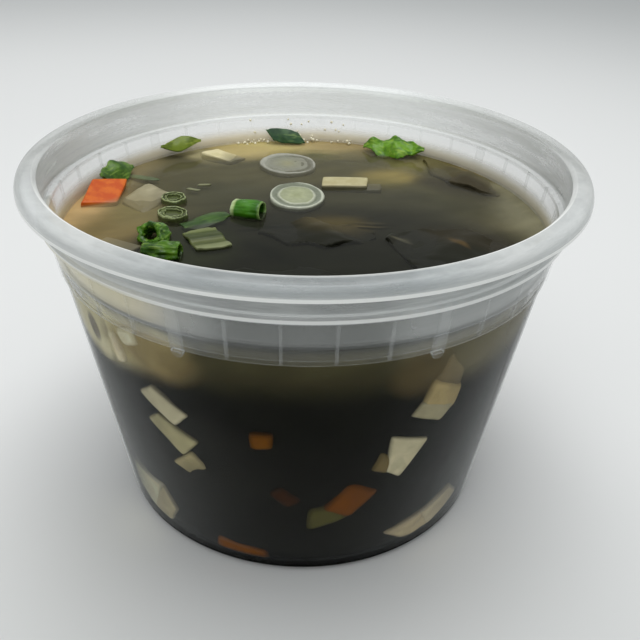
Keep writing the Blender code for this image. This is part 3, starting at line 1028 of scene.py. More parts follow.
@dataclass(frozen=True)
class SunkMass(Finish):
    """The seaweed and broth that fill the tub: the broth's colours, mottled by folds."""

    name: str = "sunk_seaweed"
    darkest: float = 0.8
    lightest: float = 1.18
    blue_share: float = 0.92

    def inputs(self, tree: Tree) -> dict[str, object]:
        """What feeds the shader.

        Args:
            tree: the material's nodes.

        Returns:
            Sockets and plain values by input name.
        """
        folds = tree.mapped(tree.place(), (0, 0, 0), 20, (2.2, 0.8, 1))
        shade = tree.smooth(tree.noise(folds, 130, 4, 0.6), 0.3, 0.7, self.darkest, self.lightest)
        shades = tree.join(shade, shade, tree.times(shade, self.blue_share))
        return {
            "Base Color": tree.mix(1, tree.kitchen.broth.read(tree)[0], shades, "MULTIPLY"),
            "Roughness": 0.7,
            "Specular IOR Level": 0.03,
            "Normal": tree.bump(tree.noise(folds, 90, 2, 0.4), 0.15, 0.4 * MM),
        }


@dataclass(frozen=True)
class SoftFood(Finish):
    """Tofu or carrot: a fine moist grain with paler blotches, fading into the broth where it is sunk."""

    ground: Colour
    blotch: Colour
    grain: float
    roughness: float
    clearness: float = 1
    pits: float = 0.2
    wetting: float = 0.3
    soak: float = 0
    shine: float = 0.5

    def inputs(self, tree: Tree) -> dict[str, object]:
        """What feeds the shader.

        Args:
            tree: the material's nodes.

        Returns:
            Sockets and plain values by input name.
        """
        place = tree.place()
        own, mask = tree.kitchen.speckle.read(tree, place, self.grain, self.ground, self.blotch)
        fine = tree.noise(place, self.grain * 5, 3, 0.6)
        return {
            "Base Color": tree.kitchen.broth.soaked(tree, own, self.clearness, self.wetting, self.soak),
            "Roughness": tree.smooth(mask, 0, 1, self.roughness, self.roughness + 0.12),
            "Specular IOR Level": self.shine,
            "Normal": tree.bump(fine, self.pits, 0.15 * MM),
        }


@dataclass(frozen=True)
class Bands:
    """Colour stops over a piece's own length or width, from 0 to 1."""

    centre: Point
    turn: float
    reach: float
    lengthwise: bool
    stops: Stops

    def colour(self, tree: Tree, place: object) -> object:
        """Colour of the bands at a place.

        Args:
            tree: the material's nodes.
            place: the coordinates to read.

        Returns:
            The colour's socket.
        """
        size = (self.reach * MM, self.reach * MM, self.reach * MM)
        x, y, _ = tree.split(tree.mapped(place, self.centre, self.turn, size))
        share = tree.math("MULTIPLY_ADD", x if self.lengthwise else y, 0.5, 0.5)
        return ramp(tree, share, self.stops)


@dataclass(frozen=True)
class GreenLeaf(Finish):
    """Wet scallion leaf: fine veins along it, and darker and lighter patches."""

    dark: Colour
    light: Colour
    vein: Colour
    turn: float
    roughness: float = 0.3
    clearness: float = 1
    veins: float = 1500
    soak: float = 0
    bands: Bands | None = None
    band_share: float = 0.85

    def inputs(self, tree: Tree) -> dict[str, object]:
        """What feeds the shader.

        Args:
            tree: the material's nodes.

        Returns:
            Sockets and plain values by input name.
        """
        place = tree.place()
        along = tree.mapped(place, (0, 0, 0), self.turn, (7, 1, 1))
        patches, _ = tree.kitchen.speckle.read(tree, place, 330, self.dark, self.light)
        line = tree.noise(along, self.veins, 2, 0.5)
        own = tree.mix(tree.smooth(line, 0.52, 0.7, 0, 0.75), patches, self.vein)
        if self.bands is not None:
            own = tree.mix(self.band_share, own, self.bands.colour(tree, place))
        return {
            "Base Color": tree.kitchen.broth.soaked(tree, own, self.clearness, 0.2, self.soak),
            "Roughness": tree.smooth(line, 0.3, 0.7, self.roughness, self.roughness + 0.15),
            "Specular IOR Level": 0.3,
            "Normal": tree.bump(line, 0.3, 0.12 * MM),
        }


@dataclass(frozen=True)
class ScallionFlesh(Finish):
    """Cross cut of a scallion: pale skins round a greenish heart, as colours by radius."""

    centre: Point
    radius: float
    squash: float
    stops: Stops
    clearness: float = 1
    roughness: float = 0.28
    soak: float = 0
    wobble: float = 0.08

    def inputs(self, tree: Tree) -> dict[str, object]:
        """What feeds the shader.

        Args:
            tree: the material's nodes.

        Returns:
            Sockets and plain values by input name.
        """
        place = tree.place()
        size = (self.radius, self.radius * self.squash, self.radius)
        x, y, _ = tree.split(tree.mapped(place, self.centre, 0, size))
        ripple = tree.noise(place, 300, 2, 0.5)
        wobble = tree.math("MULTIPLY_ADD", ripple, self.wobble, -0.5 * self.wobble)
        own = ramp(tree, tree.math("ADD", tree.length(tree.join(x, y)), wobble), self.stops)
        rays = tree.noise(place, 900, 3, 0.6)
        shade = tree.smooth(rays, 0.3, 0.7, 0.86, 1.06)
        own = tree.mix(1, own, tree.join(shade, shade, shade), "MULTIPLY")
        return {
            "Base Color": tree.kitchen.broth.soaked(tree, own, self.clearness, 0.1, self.soak),
            "Roughness": self.roughness,
            "Normal": tree.bump(rays, 0.2, 0.08 * MM),
        }


@dataclass(frozen=True)
class ThinRing(Finish):
    """Thin-walled scallion ring: half see-through green with crinkled pale lines."""

    body: Colour = srgb(88, 98, 54)
    line: Colour = srgb(160, 172, 122)
    opacity: float = 0.62
    top: Span = (LEVEL + 0.6 * MM, LEVEL + 1 * MM)

    def inputs(self, tree: Tree) -> dict[str, object]:
        """What feeds the shader.

        Args:
            tree: the material's nodes.

        Returns:
            Sockets and plain values by input name.
        """
        where = Where(tree)
        crinkle = tree.noise(where.place, 1100, 3, 0.6)
        top = tree.smooth(where.height, *self.top)
        share = tree.times(top, tree.smooth(crinkle, 0.35, 0.65, 0.3, 1))
        own = tree.mix(share, self.body, self.line)
        return {
            "Base Color": tree.kitchen.broth.soaked(tree, own, 1, 0.1, 0),
            "Alpha": tree.smooth(share, 0, 0.6, self.opacity, 0.95),
            "Roughness": 0.22,
            "Normal": tree.bump(crinkle, 0.4, 0.15 * MM),
        }


@dataclass(frozen=True)
class Seaweed(Finish):
    """Slippery dark frond near the surface, olive where it is thin."""

    dark: Colour
    thin: Colour
    soak: float
    cover: float = 0.4

    def inputs(self, tree: Tree) -> dict[str, object]:
        """What feeds the shader.

        Args:
            tree: the material's nodes.

        Returns:
            Sockets and plain values by input name.
        """
        folds = tree.mapped(tree.place(), (0, 0, 0), -12, (2.6, 0.8, 1))
        own, mask = tree.kitchen.speckle.read(tree, folds, 150, self.dark, self.thin, self.cover)
        return {
            "Base Color": tree.kitchen.broth.soaked(tree, own, 1, 0.2, self.soak),
            "Roughness": tree.smooth(mask, 0, 1, 0.4, 0.6),
            "Specular IOR Level": 0.05,
            "Normal": tree.bump(tree.noise(folds, 300, 3, 0.5, 0.5), 0.3, 0.25 * MM),
        }


@dataclass(frozen=True)
class Bubble(Finish):
    """Small glossy bubbles and droplets."""

    name: str = "bubble"
    tint: Colour = srgb(250, 248, 232)
    shaded: Colour = srgb(236, 226, 190)

    def inputs(self, tree: Tree) -> dict[str, object]:
        """What feeds the shader."""
        mottle = tree.noise(tree.place(), 700, 2, 0.5)
        return {"Base Color": tree.mix(mottle, self.tint, self.shaded), "Alpha": 0.9, "Roughness": 0.05}


@dataclass(frozen=True)
class FloorPaint(Finish):
    """Matt pale floor with painted shade: a painted shadow near the viewer and the light's falloff painted
    far to the sides.
    """

    name: str = "floor_paint"
    pale: Colour = srgb(223, 224, 224)
    paler: Colour = srgb(229, 230, 230)
    # Painted falloff of the light far to the sides.
    side: Colour = srgb(178, 181, 182)
    # Painted shadow near the viewer.
    front: Colour = srgb(190, 192, 191)
    centre: Point = (-0.12, 0.18, 0)
    reach: Point = (0.50, 0.42, 1)

    def inputs(self, tree: Tree) -> dict[str, object]:
        """What feeds the shader.

        Args:
            tree: the material's nodes.

        Returns:
            Sockets and plain values by input name.
        """
        place = tree.place()
        paint = tree.mix(tree.noise(place, 3, 2, 0.5), self.pale, self.paler)
        away = tree.length(tree.mapped(place, self.centre, 0, self.reach))
        # Painted falloff of the light away from the tub.
        paint = tree.mix(tree.smooth(away, 0.35, 1.6, 0, 0.75), paint, self.side)
        # Painted shadow near the viewer.
        near = tree.smooth(tree.split(place)[1], 0.02, -0.13, 0, 0.62)
        return {"Base Color": tree.mix(near, paint, self.front), "Roughness": 0.7, "Specular IOR Level": 0.2}


# ---- modelling helpers


SEAM = 0.002 * MM
CORNER_STEPS = 8
FOOD_FOLD = 50


def linked(obj: Piece) -> Piece:
    """Put an object into the scene and hand it back."""
    bpy.context.scene.collection.objects.link(obj)
    return obj


def activate(obj: Piece) -> None:
    """Select one object alone and make it the active one.

    Args:
        obj: the object.
    """
    bpy.ops.object.select_all(action="DESELECT")
    obj.select_set(True)
    bpy.context.view_layer.objects.active = obj


def edit(obj: Piece) -> None:
    """Go into edit mode on one object with everything in it selected.

    Args:
        obj: the object.
    """
    activate(obj)
    bpy.ops.object.mode_set(mode="EDIT")
    bpy.ops.mesh.select_all(action="SELECT")


def leave_edit() -> None:
    """Go back to object mode."""
    bpy.ops.object.mode_set(mode="OBJECT")


def apply_modifiers(obj: Piece) -> None:
    """Apply every modifier of an object in order.

    Args:
        obj: the object.
    """
    activate(obj)
    for modifier in list(obj.modifiers):
        bpy.ops.object.modifier_apply(modifier=modifier.name)


def settle(obj: Piece, place: Matrix | None = None, smooth: float = 40) -> Piece:
    """Put an object's place into its mesh and shade it.

    Args:
        obj: the object.
        place: where it goes, or None if its mesh is in place.
        smooth: folds sharper than this angle in degrees stay sharp.

    Returns:
        The same object, at the origin.
    """
    activate(obj)
    bpy.ops.object.transform_apply(location=True, rotation=True, scale=True)
    if place is not None:
        obj.data.transform(place)
    bpy.ops.object.shade_smooth_by_angle(angle=math.radians(smooth))
    return obj


def subdivide_smooth(obj: Piece, levels: int) -> None:
    """Apply a Subdivision Surface.

    Args:
        obj: the object.
        levels: how often its faces are divided.
    """
    modifier = obj.modifiers.new("Smooth", "SUBSURF")
    modifier.levels = levels
    modifier.render_levels = levels
    apply_modifiers(obj)


def arc(centre: Span, reach: Span, start: float, end: float, steps: int, power: float = 1) -> Outline:
    """Points on an arc.

    Args:
        centre: the arc's centre.
        reach: how far it goes out and up from there.
        start: its first angle in degrees.
        end: its last angle in degrees.
        steps: how many pieces it has.
        power: 1 for a true ellipse, and less for one that is squared off.

    Returns:
        The points from start to end.
    """
    points = []
    for step in range(steps + 1):
        angle = math.radians(start + (end - start) * step / steps)
        out, up = (math.copysign(abs(part) ** power, part) for part in (math.cos(angle), math.sin(angle)))
        points.append((centre[0] + reach[0] * out, centre[1] + reach[1] * up))
    return points


def turned(name: str, profile: Outline, steps: int, closed: bool = False) -> Piece:
    """Spin a profile of radius and height round Z.

    Args:
        name: the object's name.
        profile: the points of the half section.
        steps: how many steps the turn has.
        closed: whether the last point joins the first.

    Returns:
        The new object, with its faces outwards.
    """
    mesh = bpy.data.meshes.new(name)
    edges = [(i, i + 1) for i in range(len(profile) - 1)]
    if closed:
        edges.append((len(profile) - 1, 0))
    mesh.from_pydata([(radius, 0, height) for radius, height in profile], edges, [])
    obj = linked(bpy.data.objects.new(name, mesh))
    edit(obj)
    bpy.ops.mesh.spin(steps=steps, angle=math.tau, center=(0, 0, 0), axis=(0, 0, 1))
    bpy.ops.mesh.select_all(action="SELECT")
    bpy.ops.mesh.remove_doubles(threshold=SEAM)
    bpy.ops.mesh.normals_make_consistent(inside=False)
    leave_edit()
    return obj


def move_points(obj: Piece, shift: object) -> None:
    """Move every vertex by a function of its place.

    Args:
        obj: the object.
        shift: a function from a vertex's place to its new place.
    """
    for vertex in obj.data.vertices:
        vertex.co = shift(vertex.co)
    obj.data.update()


def join_all(name: str, objects: list[Piece]) -> Piece:
    """Join objects into one.

    Args:
        name: the name of the result.
        objects: what is joined.

    Returns:
        The joined object.
    """
    activate(objects[0])
    for obj in objects[1:]:
        obj.select_set(True)
    bpy.ops.object.join()
    objects[0].name = name
    objects[0].data.name = name
    return objects[0]


def copy_of(obj: Piece, place: Matrix) -> Piece:
    """Copy an object with a mesh of its own.

    Args:
        obj: the object to copy.
        place: how the copy's mesh is moved.

    Returns:
        The copy.
    """
    twin = linked(obj.copy())
    twin.data = obj.data.copy()
    twin.data.transform(place)
    return twin


def dress(obj: Piece, material: bpy.types.Material, slot: str, *nodes: str) -> Piece:
    """Give a piece its material and body, and hide the imported nodes that it stands for.

    Args:
        obj: the piece.
        material: its finish.
        slot: the name of a material slot; not used.
        nodes: the CAD nodes that it stands for.

    Returns:
        The same piece.
    """
    obj.data.materials.clear()
    obj.data.materials.append(material)
    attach(obj, BODY)
    if nodes:
        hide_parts(*nodes)
    LOG.info("%s: %d faces", obj.name, len(obj.data.polygons))
    return obj


# ---- the tub


@dataclass
class Tub:
    """The clear tub with its rolled lip, ledge and ribbed collar."""

    kitchen: Kitchen
    size: TubSize = TUB
    steps: int = 192
    lip_steps: int = 14
    rib_count: int = 36
    ribs_per_lug: int = 5
    lug_count: int = 7
    first_lug: float = -24
    rib_width: float = 0.5 * MM
    rib_bottom: float = 60 * MM
    rib_top: float = 69.3 * MM
    rib_proud: float = 0.30 * MM
    rib_root: float = 0.30 * MM
    lug_width: float = 2.3 * MM
    lug_bottom: float = 58.3 * MM
    lug_proud: float = 0.5 * MM
    lug_rounding: float = 0.48

    def profile(self) -> Outline:
        """Half section: up the inside, over the lip and down the outside.

        Returns:
            Points of radius and height.
        """
        s = self.size
        centre_in = (s.inner_radius(s.floor) - s.inner_corner, s.floor + s.inner_corner)
        centre_out = (s.base_radius - s.corner_radius, s.corner_radius)
        inside = [(0, s.floor)]
        inside += arc(centre_in, (s.inner_corner, s.inner_corner), -90, -s.lean, CORNER_STEPS)
        inside += [
            (s.inner_radius(s.collar_bottom), s.collar_bottom),
            (s.inner_radius(s.collar_foot), s.collar_foot),
            (s.inner_radius(s.collar_top), s.shelf_height - s.shelf_slope),
            (s.neck_radius - s.wall, s.shelf_height),
            (s.neck_radius - 0.7 * s.wall, s.height - s.mouth_flare_depth),
            (s.crest_radius - 0.5 * s.wall, s.height - s.mouth_edge_depth),
        ]
        crest = (s.crest_radius, s.lip_edge_height)
        width = s.rim_radius - s.crest_radius
        rise = s.height - s.lip_edge_height
        squared = 2 / s.lip_exponent
        lip = arc(crest, (width, rise), 90, 0, self.lip_steps, squared)
        lip.append((s.rim_radius - 0.7 * s.wall, s.lip_edge_height - s.lip_edge_tuck))
        lip += arc(crest, (width - s.wall, rise - s.wall), 8, 72, CORNER_STEPS, squared)
        outside = [
            (s.neck_radius + s.neck_flare, s.neck_top),
            (s.neck_radius, s.neck_bottom),
            (s.bead_radius, s.bead_top),
            (s.bead_radius, s.bead_bottom),
            (s.bead_radius - s.bead_step, s.collar_top),
            (s.collar_radius(s.collar_top), s.collar_top),
            (s.collar_radius(s.collar_bottom), s.collar_bottom),
            (s.wall_radius(s.collar_bottom), s.collar_bottom - s.collar_slope),
        ]
        outside += arc(centre_out, (s.corner_radius, s.corner_radius), -s.lean, -90, CORNER_STEPS)
        inner_groove, outer_groove = s.groove_radii
        base = [
            (outer_groove, 0),
            (outer_groove - s.groove_slope, s.groove_depth),
            (inner_groove + s.groove_slope, s.groove_depth),
            (inner_groove, 0),
            (0, 0),
        ]
        return inside + lip + outside + base

    def bar(self, width: float, bottom: float, proud: float, rounding: float) -> Piece:
        """One upright bar of the collar, standing at the front.

        Args:
            width: its width.
            bottom: the height of its lower end.
            proud: how far it stands out from the collar.
            rounding: the radius of its lower corners.

        Returns:
            The bar as an object.
        """
        length = self.rib_top - bottom
        depth = self.rib_root + proud
        bpy.ops.mesh.primitive_cube_add(size=1, scale=(width, depth, length))
        obj = bpy.context.object
        bpy.ops.object.transform_apply(location=False, rotation=False, scale=True)
        if rounding > 0:
            self.round_lower_corners(obj, length, rounding)
        lean = Matrix.Rotation(math.radians(self.size.lean), 4, "X")
        up = Matrix.Translation((0, (self.rib_root - proud) / 2, length / 2))
        stand = Matrix.Translation((0, -self.size.collar_radius(bottom), bottom))
        obj.data.transform(stand @ lean @ up)
        return obj

    @staticmethod
    def round_lower_corners(obj: Piece, length: float, rounding: float) -> None:
        """Bevel the two lower edges that run through the bar.

        Args:
            obj: the bar, centred on the origin.
            length: its height.
            rounding: the bevel's width.
        """
        edit(obj)
        bpy.ops.mesh.select_mode(type="EDGE")
        bpy.ops.mesh.select_all(action="DESELECT")
        shape = bmesh.from_edit_mesh(obj.data)
        for edge in shape.edges:
            first, second = (vert.co for vert in edge.verts)
            through = abs(first.y - second.y) > abs(first.x - second.x) + abs(first.z - second.z)
            edge.select = through and first.z < -0.49 * length
        bmesh.update_edit_mesh(obj.data)
        bpy.ops.mesh.bevel(offset=rounding, segments=6, affect="EDGES")
        leave_edit()

    def build(self) -> None:
        """Build the wall, the thin ribs of the collar and its wider lugs."""
        wall = settle(turned("tub_wall", self.profile(), self.steps), smooth=32)
        dress(wall, ClearPlastic().build(self.kitchen), "tub_plastic", "tub")
        foot = FootPlastic()
        wall.data.materials.append(foot.build(self.kitchen))
        for face in wall.data.polygons:
            face.material_index = int(face.center.z < foot.top)
        lug_places = [self.ribs_per_lug * index for index in range(self.lug_count)]
        rib_places = [index for index in range(self.rib_count) if index not in lug_places]
        rib = self.bar(self.rib_width, self.rib_bottom, self.rib_proud, 0)
        thin = ClearPlastic("rib_plastic", veil_haze=0.05, dry_haze=0.06, side_haze=0.4, side_power=2,
                            side_gain=1, warm_haze=0)
        self.row("collar_ribs", rib, rib_places, thin.build(self.kitchen))
        rounding = self.lug_rounding * self.lug_width
        lug = self.bar(self.lug_width, self.lug_bottom, self.lug_proud, rounding)
        hollow = ClearPlastic("lug_plastic", veil_haze=0.04, dry_haze=0.05, side_haze=0.9, side_power=2.6,
                              side_gain=1, warm_haze=0)
        self.row("collar_lugs", lug, lug_places, hollow.build(self.kitchen))

    def row(self, name: str, bar: Piece, places: list[int], material: bpy.types.Material) -> None:
        """Repeat a bar round the collar as one piece.

        Args:
            name: the piece's name.
            bar: the bar, which is used up.
            places: which of the collar's even places it takes.
            material: the bars' finish.
        """
        turns = [math.radians(self.first_lug + place * 360 / self.rib_count) for place in places]
        bars = [copy_of(bar, Matrix.Rotation(turn, 4, "Z")) for turn in turns]
        bpy.data.objects.remove(bar, do_unlink=True)
        dress(settle(join_all(name, bars), smooth=30), material, "tub_plastic")


# ---- the soup itself


@dataclass
class Soup:
    """The broth's glossy outer face and the dark lumpy mass inside it.

    The depths of the mass's top below the surface, and where it is shallow, are in mm.
    """

    kitchen: Kitchen
    size: TubSize = TUB
    steps: int = 192
    into_wall: float = 0.2 * MM
    side_into_wall: float = 0.7 * MM
    foot_into_wall: float = 0.5 * MM
    meniscus: float = 0.7 * MM
    meniscus_width: float = 3 * MM
    rings: int = 39
    meniscus_rings: int = 10
    mass_gap: float = 0.8 * MM
    mass_into_wall: float = 0.1 * MM
    mass_off_wall: float = 0.05 * MM
    mass_rings: int = 59
    mass_steps: int = 240
    mass_shoulder: float = 3.5 * MM
    mass_foot: float = 1 * MM
    depth: float = 0.8
    least_depth: float = 0.5
    rim_depth: float = 0.08
    shallow_middle: Span = (4, -30)
    shallow_reach: Span = (42, 36)

    def film(self) -> Piece:
        """The broth as a closed turned solid that reaches just into the wall.

        Returns:
            The film in place.
        """
        s = self.size
        edge = s.inner_radius(LEVEL) + self.into_wall
        flat = edge - self.meniscus_width
        top = [(flat * step / self.rings, LEVEL) for step in range(self.rings + 1)]
        for step in range(1, self.meniscus_rings + 1):
            share = step / self.meniscus_rings
            top.append((edge - self.meniscus_width * (1 - share), LEVEL + self.meniscus * share ** 4))
        side = [
            (s.inner_radius(s.collar_foot) + self.side_into_wall, s.collar_foot),
            (s.inner_radius(s.collar_bottom) + self.side_into_wall, s.collar_bottom),
        ]
        bottom = s.floor - self.into_wall
        centre = (s.inner_radius(s.floor) + self.foot_into_wall - s.inner_corner, bottom + s.inner_corner)
        side += arc(centre, (s.inner_corner, s.inner_corner), -s.lean, -90, CORNER_STEPS)
        side.append((0, bottom))
        return settle(turned("broth_film", top + side, self.steps), smooth=40)

    def mass_depth(self, place: Vector) -> float:
        """How far the mass's top lies under the surface at a place, in metres.

        Args:
            place: a point on the surface.

        Returns:
            The depth.
        """
        x, y = place.x / MM, place.y / MM
        (middle_x, middle_y), (wide, deep) = self.shallow_middle, self.shallow_reach
        away = math.hypot((x - middle_x) / wide, (y - middle_y) / deep)
        far = clamped((away - 0.75) / 0.5)
        fold = noise.fractal(Vector((x * 0.09, y * 0.16, 3)), 0.9, 2, 3)
        depth = max(self.least_depth, self.depth + 0.25 * far + 0.2 * fold)
        rim = clamped((place.xy.length / self.size.inner_radius(LEVEL) - 0.84) / 0.15)
        return (depth + (self.rim_depth - depth) * eased(rim)) * MM

    def mass(self) -> Piece:
        """The sunk seaweed and broth: a closed lumpy solid that nearly fills the tub.

        Returns:
            The mass in place.
        """
        s = self.size
        radius = s.inner_radius(0)
        bottom = s.floor - self.mass_into_wall
        rings = self.mass_rings
        profile = [(radius * step / rings, LEVEL) for step in range(rings + 1)]
        profile += [(radius, LEVEL - (LEVEL - bottom) * step / rings) for step in range(1, rings + 1)]
        profile.append((0, bottom))
        obj = turned("seaweed_mass", profile, self.mass_steps)

        def shape(place: Vector) -> Vector:
            """Push a point of the plain cylinder into the folded mass.

            Args:
                place: the point.

            Returns:
                Its new place.
            """
            flat = math.hypot(place.x, place.y)
            share = min(1, flat / radius)
            wide = place * (s.inner_radius(LEVEL) / radius)
            top = LEVEL - self.mass_depth(wide)
            height = bottom + (top - bottom) * (place.z - bottom) / (LEVEL - bottom)
            angle = math.atan2(place.y, place.x)
            around = Vector((3 * math.cos(angle), 3 * math.sin(angle), height / MM * 0.09))
            fold = noise.fractal(around, 0.8, 2, 4)
            below = clamped((LEVEL - height) / self.mass_shoulder)
            above = clamped((height - s.floor) / self.mass_foot)
            gap = (self.mass_gap + 0.5 * fold * MM) * min(eased(below), above)
            reach = s.inside(height) + self.mass_into_wall * (1 - below) - self.mass_off_wall * below
            reach += (self.mass_into_wall + self.mass_off_wall) * (1 - above) * below - max(0, gap) * share
            scale = reach / radius
            return Vector((place.x * scale, place.y * scale, height))

        move_points(obj, shape)
        return settle(obj, smooth=60)

    def build(self) -> None:
        """Build the film and the mass."""
        film = dress(self.film(), BrothFilm().build(self.kitchen), "broth", "broth")
        film.data.materials.append(BrothSide().build(self.kitchen))
        for face in film.data.polygons:
            face.material_index = int(face.center.z < LEVEL - self.into_wall)
        dress(self.mass(), SunkMass().build(self.kitchen), "seaweed")


# ---- toppings


@dataclass(frozen=True)
class Spot:
    """Where a topping floats: place in mm across, away and above the soup, and its tilt in degrees."""

    x: float
    y: float
    up: float
    tilt: Point = (0, 0, 0)

    def matrix(self) -> Matrix:
        """The spot as a transform.

        Returns:
            The transform from a topping's own axes to the frame's.
        """
        turns = [Matrix.Rotation(math.radians(angle), 4, axis) for angle, axis in zip(self.tilt, "XYZ")]
        move = Matrix.Translation((self.x * MM, self.y * MM, LEVEL + self.up * MM))
        return move @ turns[2] @ turns[1] @ turns[0]

    def centre(self) -> Point:
        """The spot's place in metres."""
        return self.x * MM, self.y * MM, LEVEL + self.up * MM


def food_block(name: str, width: float, depth: float, height: float, skew: float, rough: float,
               rounding: float = 0.45, seed: float = 0) -> Piece:
    """A hand-cut block: sheared, its edges worn, its faces a little uneven.

    Args:
        name: the object's name.
        width: its width in mm.
        depth: its depth in mm.
        height: its height in mm.
        skew: how far its front is shifted against its back, in mm.
        rough: how uneven its faces are, in mm.
        rounding: how far its edges are worn, in mm.
        seed: a number that makes each block's unevenness its own.

    Returns:
        The block at the origin.
    """
    bpy.ops.mesh.primitive_cube_add(size=1, scale=(width * MM, depth * MM, height * MM))
    obj = bpy.context.object
    obj.name = name
    bpy.ops.object.transform_apply(location=False, rotation=False, scale=True)
    edit(obj)
    bpy.ops.mesh.bevel(offset=rounding * MM, segments=2, affect="EDGES")
    bpy.ops.mesh.subdivide(number_cuts=4)
    leave_edit()

    def uneven(place: Vector) -> Vector:
        """Shear a point and push it a little.

        Args:
            place: the point.

        Returns:
            Its new place.
        """
        sheared = Vector((place.x + 2 * skew * place.y / depth, place.y, place.z))
        wobble = noise.noise_vector(sheared / MM * 0.55 + Vector((seed, 2 * seed, 3 * seed)))
        fine = noise.noise_vector(sheared / MM * 1.9 + Vector((seed, seed, seed)))
        return sheared + (wobble * rough + fine * rough * 0.4) * MM

    move_points(obj, uneven)
    subdivide_smooth(obj, 1)
    return obj


def slice_of(name: str, radius: float, height: float, squash: float, seed: float) -> Piece:
    """Cross slice of a scallion's white end: raised skins round a dished heart.

    Args:
        name: the object's name.
        radius: its radius in mm.
        height: its height in mm.
        squash: its depth over its width.
        seed: a number that makes its wobble its own.

    Returns:
        The slice at the origin, its foot at height 0.
    """
    heart = radius - 2
    profile = [
        (0, height - 0.16), (0.25 * heart, height - 0.15), (0.5 * heart, height - 0.12),
        (0.75 * heart, height - 0.08), (0.94 * heart, height - 0.03), (heart + 0.1, height - 0.1),
        (heart + 0.4, height - 0.26), (radius - 1.2, height - 0.24), (radius - 0.8, height - 0.12),
        (radius - 0.45, height - 0.02), (radius - 0.25, height), (radius - 0.08, height - 0.08),
        (radius, height - 0.25), (radius, 0.25), (radius - 0.12, 0.1), (radius - 0.4, 0), (0, 0),
    ]
    obj = turned(name, [(r * MM, z * MM) for r, z in profile], 96)

    def wobble(place: Vector) -> Vector:
        """Squash the slice and make its skins uneven.

        Args:
            place: the point.

        Returns:
            Its new place.
        """
        angle = math.atan2(place.y, place.x)
        swell = 1 + 0.025 * math.sin(2 * angle + seed) + 0.015 * math.sin(5 * angle + 2 * seed)
        lift = 0.12 * MM * noise.noise(place / MM * 0.5 + Vector((seed, 0, 0)))
        return Vector((place.x * swell, place.y * squash * swell, place.z + lift))

    move_points(obj, wobble)
    return obj


@dataclass(frozen=True)
class TubeCut:
    """Short cut of a hollow scallion leaf, its axis along X: sizes in mm."""

    radius: float
    skin: float
    length: float
    squash: float
    bow: float = 0.05
    ridges: int = 18
    ridge: float = 0.06
    crinkle: float = 0.1
    seed: float = 0

    def side(self, radius: float, reach: float, steps: int = 14) -> Outline:
        """One face of the tube in section, bowed out in its middle.

        Args:
            radius: its radius at both ends, in mm.
            reach: the height of its last point in mm; its first lies as far on the other side.
            steps: how many pieces it has.

        Returns:
            The face's points.
        """
        places = [2 * step / steps - 1 for step in range(steps + 1)]
        return [(radius * (1 + self.bow * (1 - along * along)), along * reach) for along in places]

    def build(self, name: str) -> Piece:
        """Build the cut as a closed ribbed tube.

        Args:
            name: the object's name.

        Returns:
            The tube at the origin.
        """
        half = self.length / 2
        inner = self.radius - self.skin
        rounding = self.skin * 0.3
        lower = [(self.radius - rounding, -half), (inner + rounding, -half)]
        upper = [(inner + rounding, half), (self.radius - rounding, half)]
        profile = self.side(self.radius, rounding - half) + lower + self.side(inner, half - rounding) + upper
        obj = turned(name, [(r * MM, z * MM) for r, z in profile], 72, closed=True)

        def ribbed(place: Vector) -> Vector:
            """Add the leaf's ribs and crinkles, then lay the tube along X.

            Args:
                place: the point.

            Returns:
                Its new place.
            """
            angle = math.atan2(place.y, place.x)
            flat = math.hypot(place.x, place.y)
            rib = 1 + self.ridge / self.radius * math.sin(self.ridges * angle)
            dent = noise.noise(Vector((2 * math.cos(angle), 2 * math.sin(angle), place.z / MM * 0.45)) +
                               Vector((self.seed, self.seed, self.seed)))
            reach = flat * (rib + self.crinkle * dent)
            x, y = reach * math.cos(angle), reach * math.sin(angle)
            return Vector((place.z, y, -x * self.squash))

        move_points(obj, ribbed)
        edit(obj)
        bpy.ops.mesh.normals_make_consistent(inside=False)
        leave_edit()
        return obj


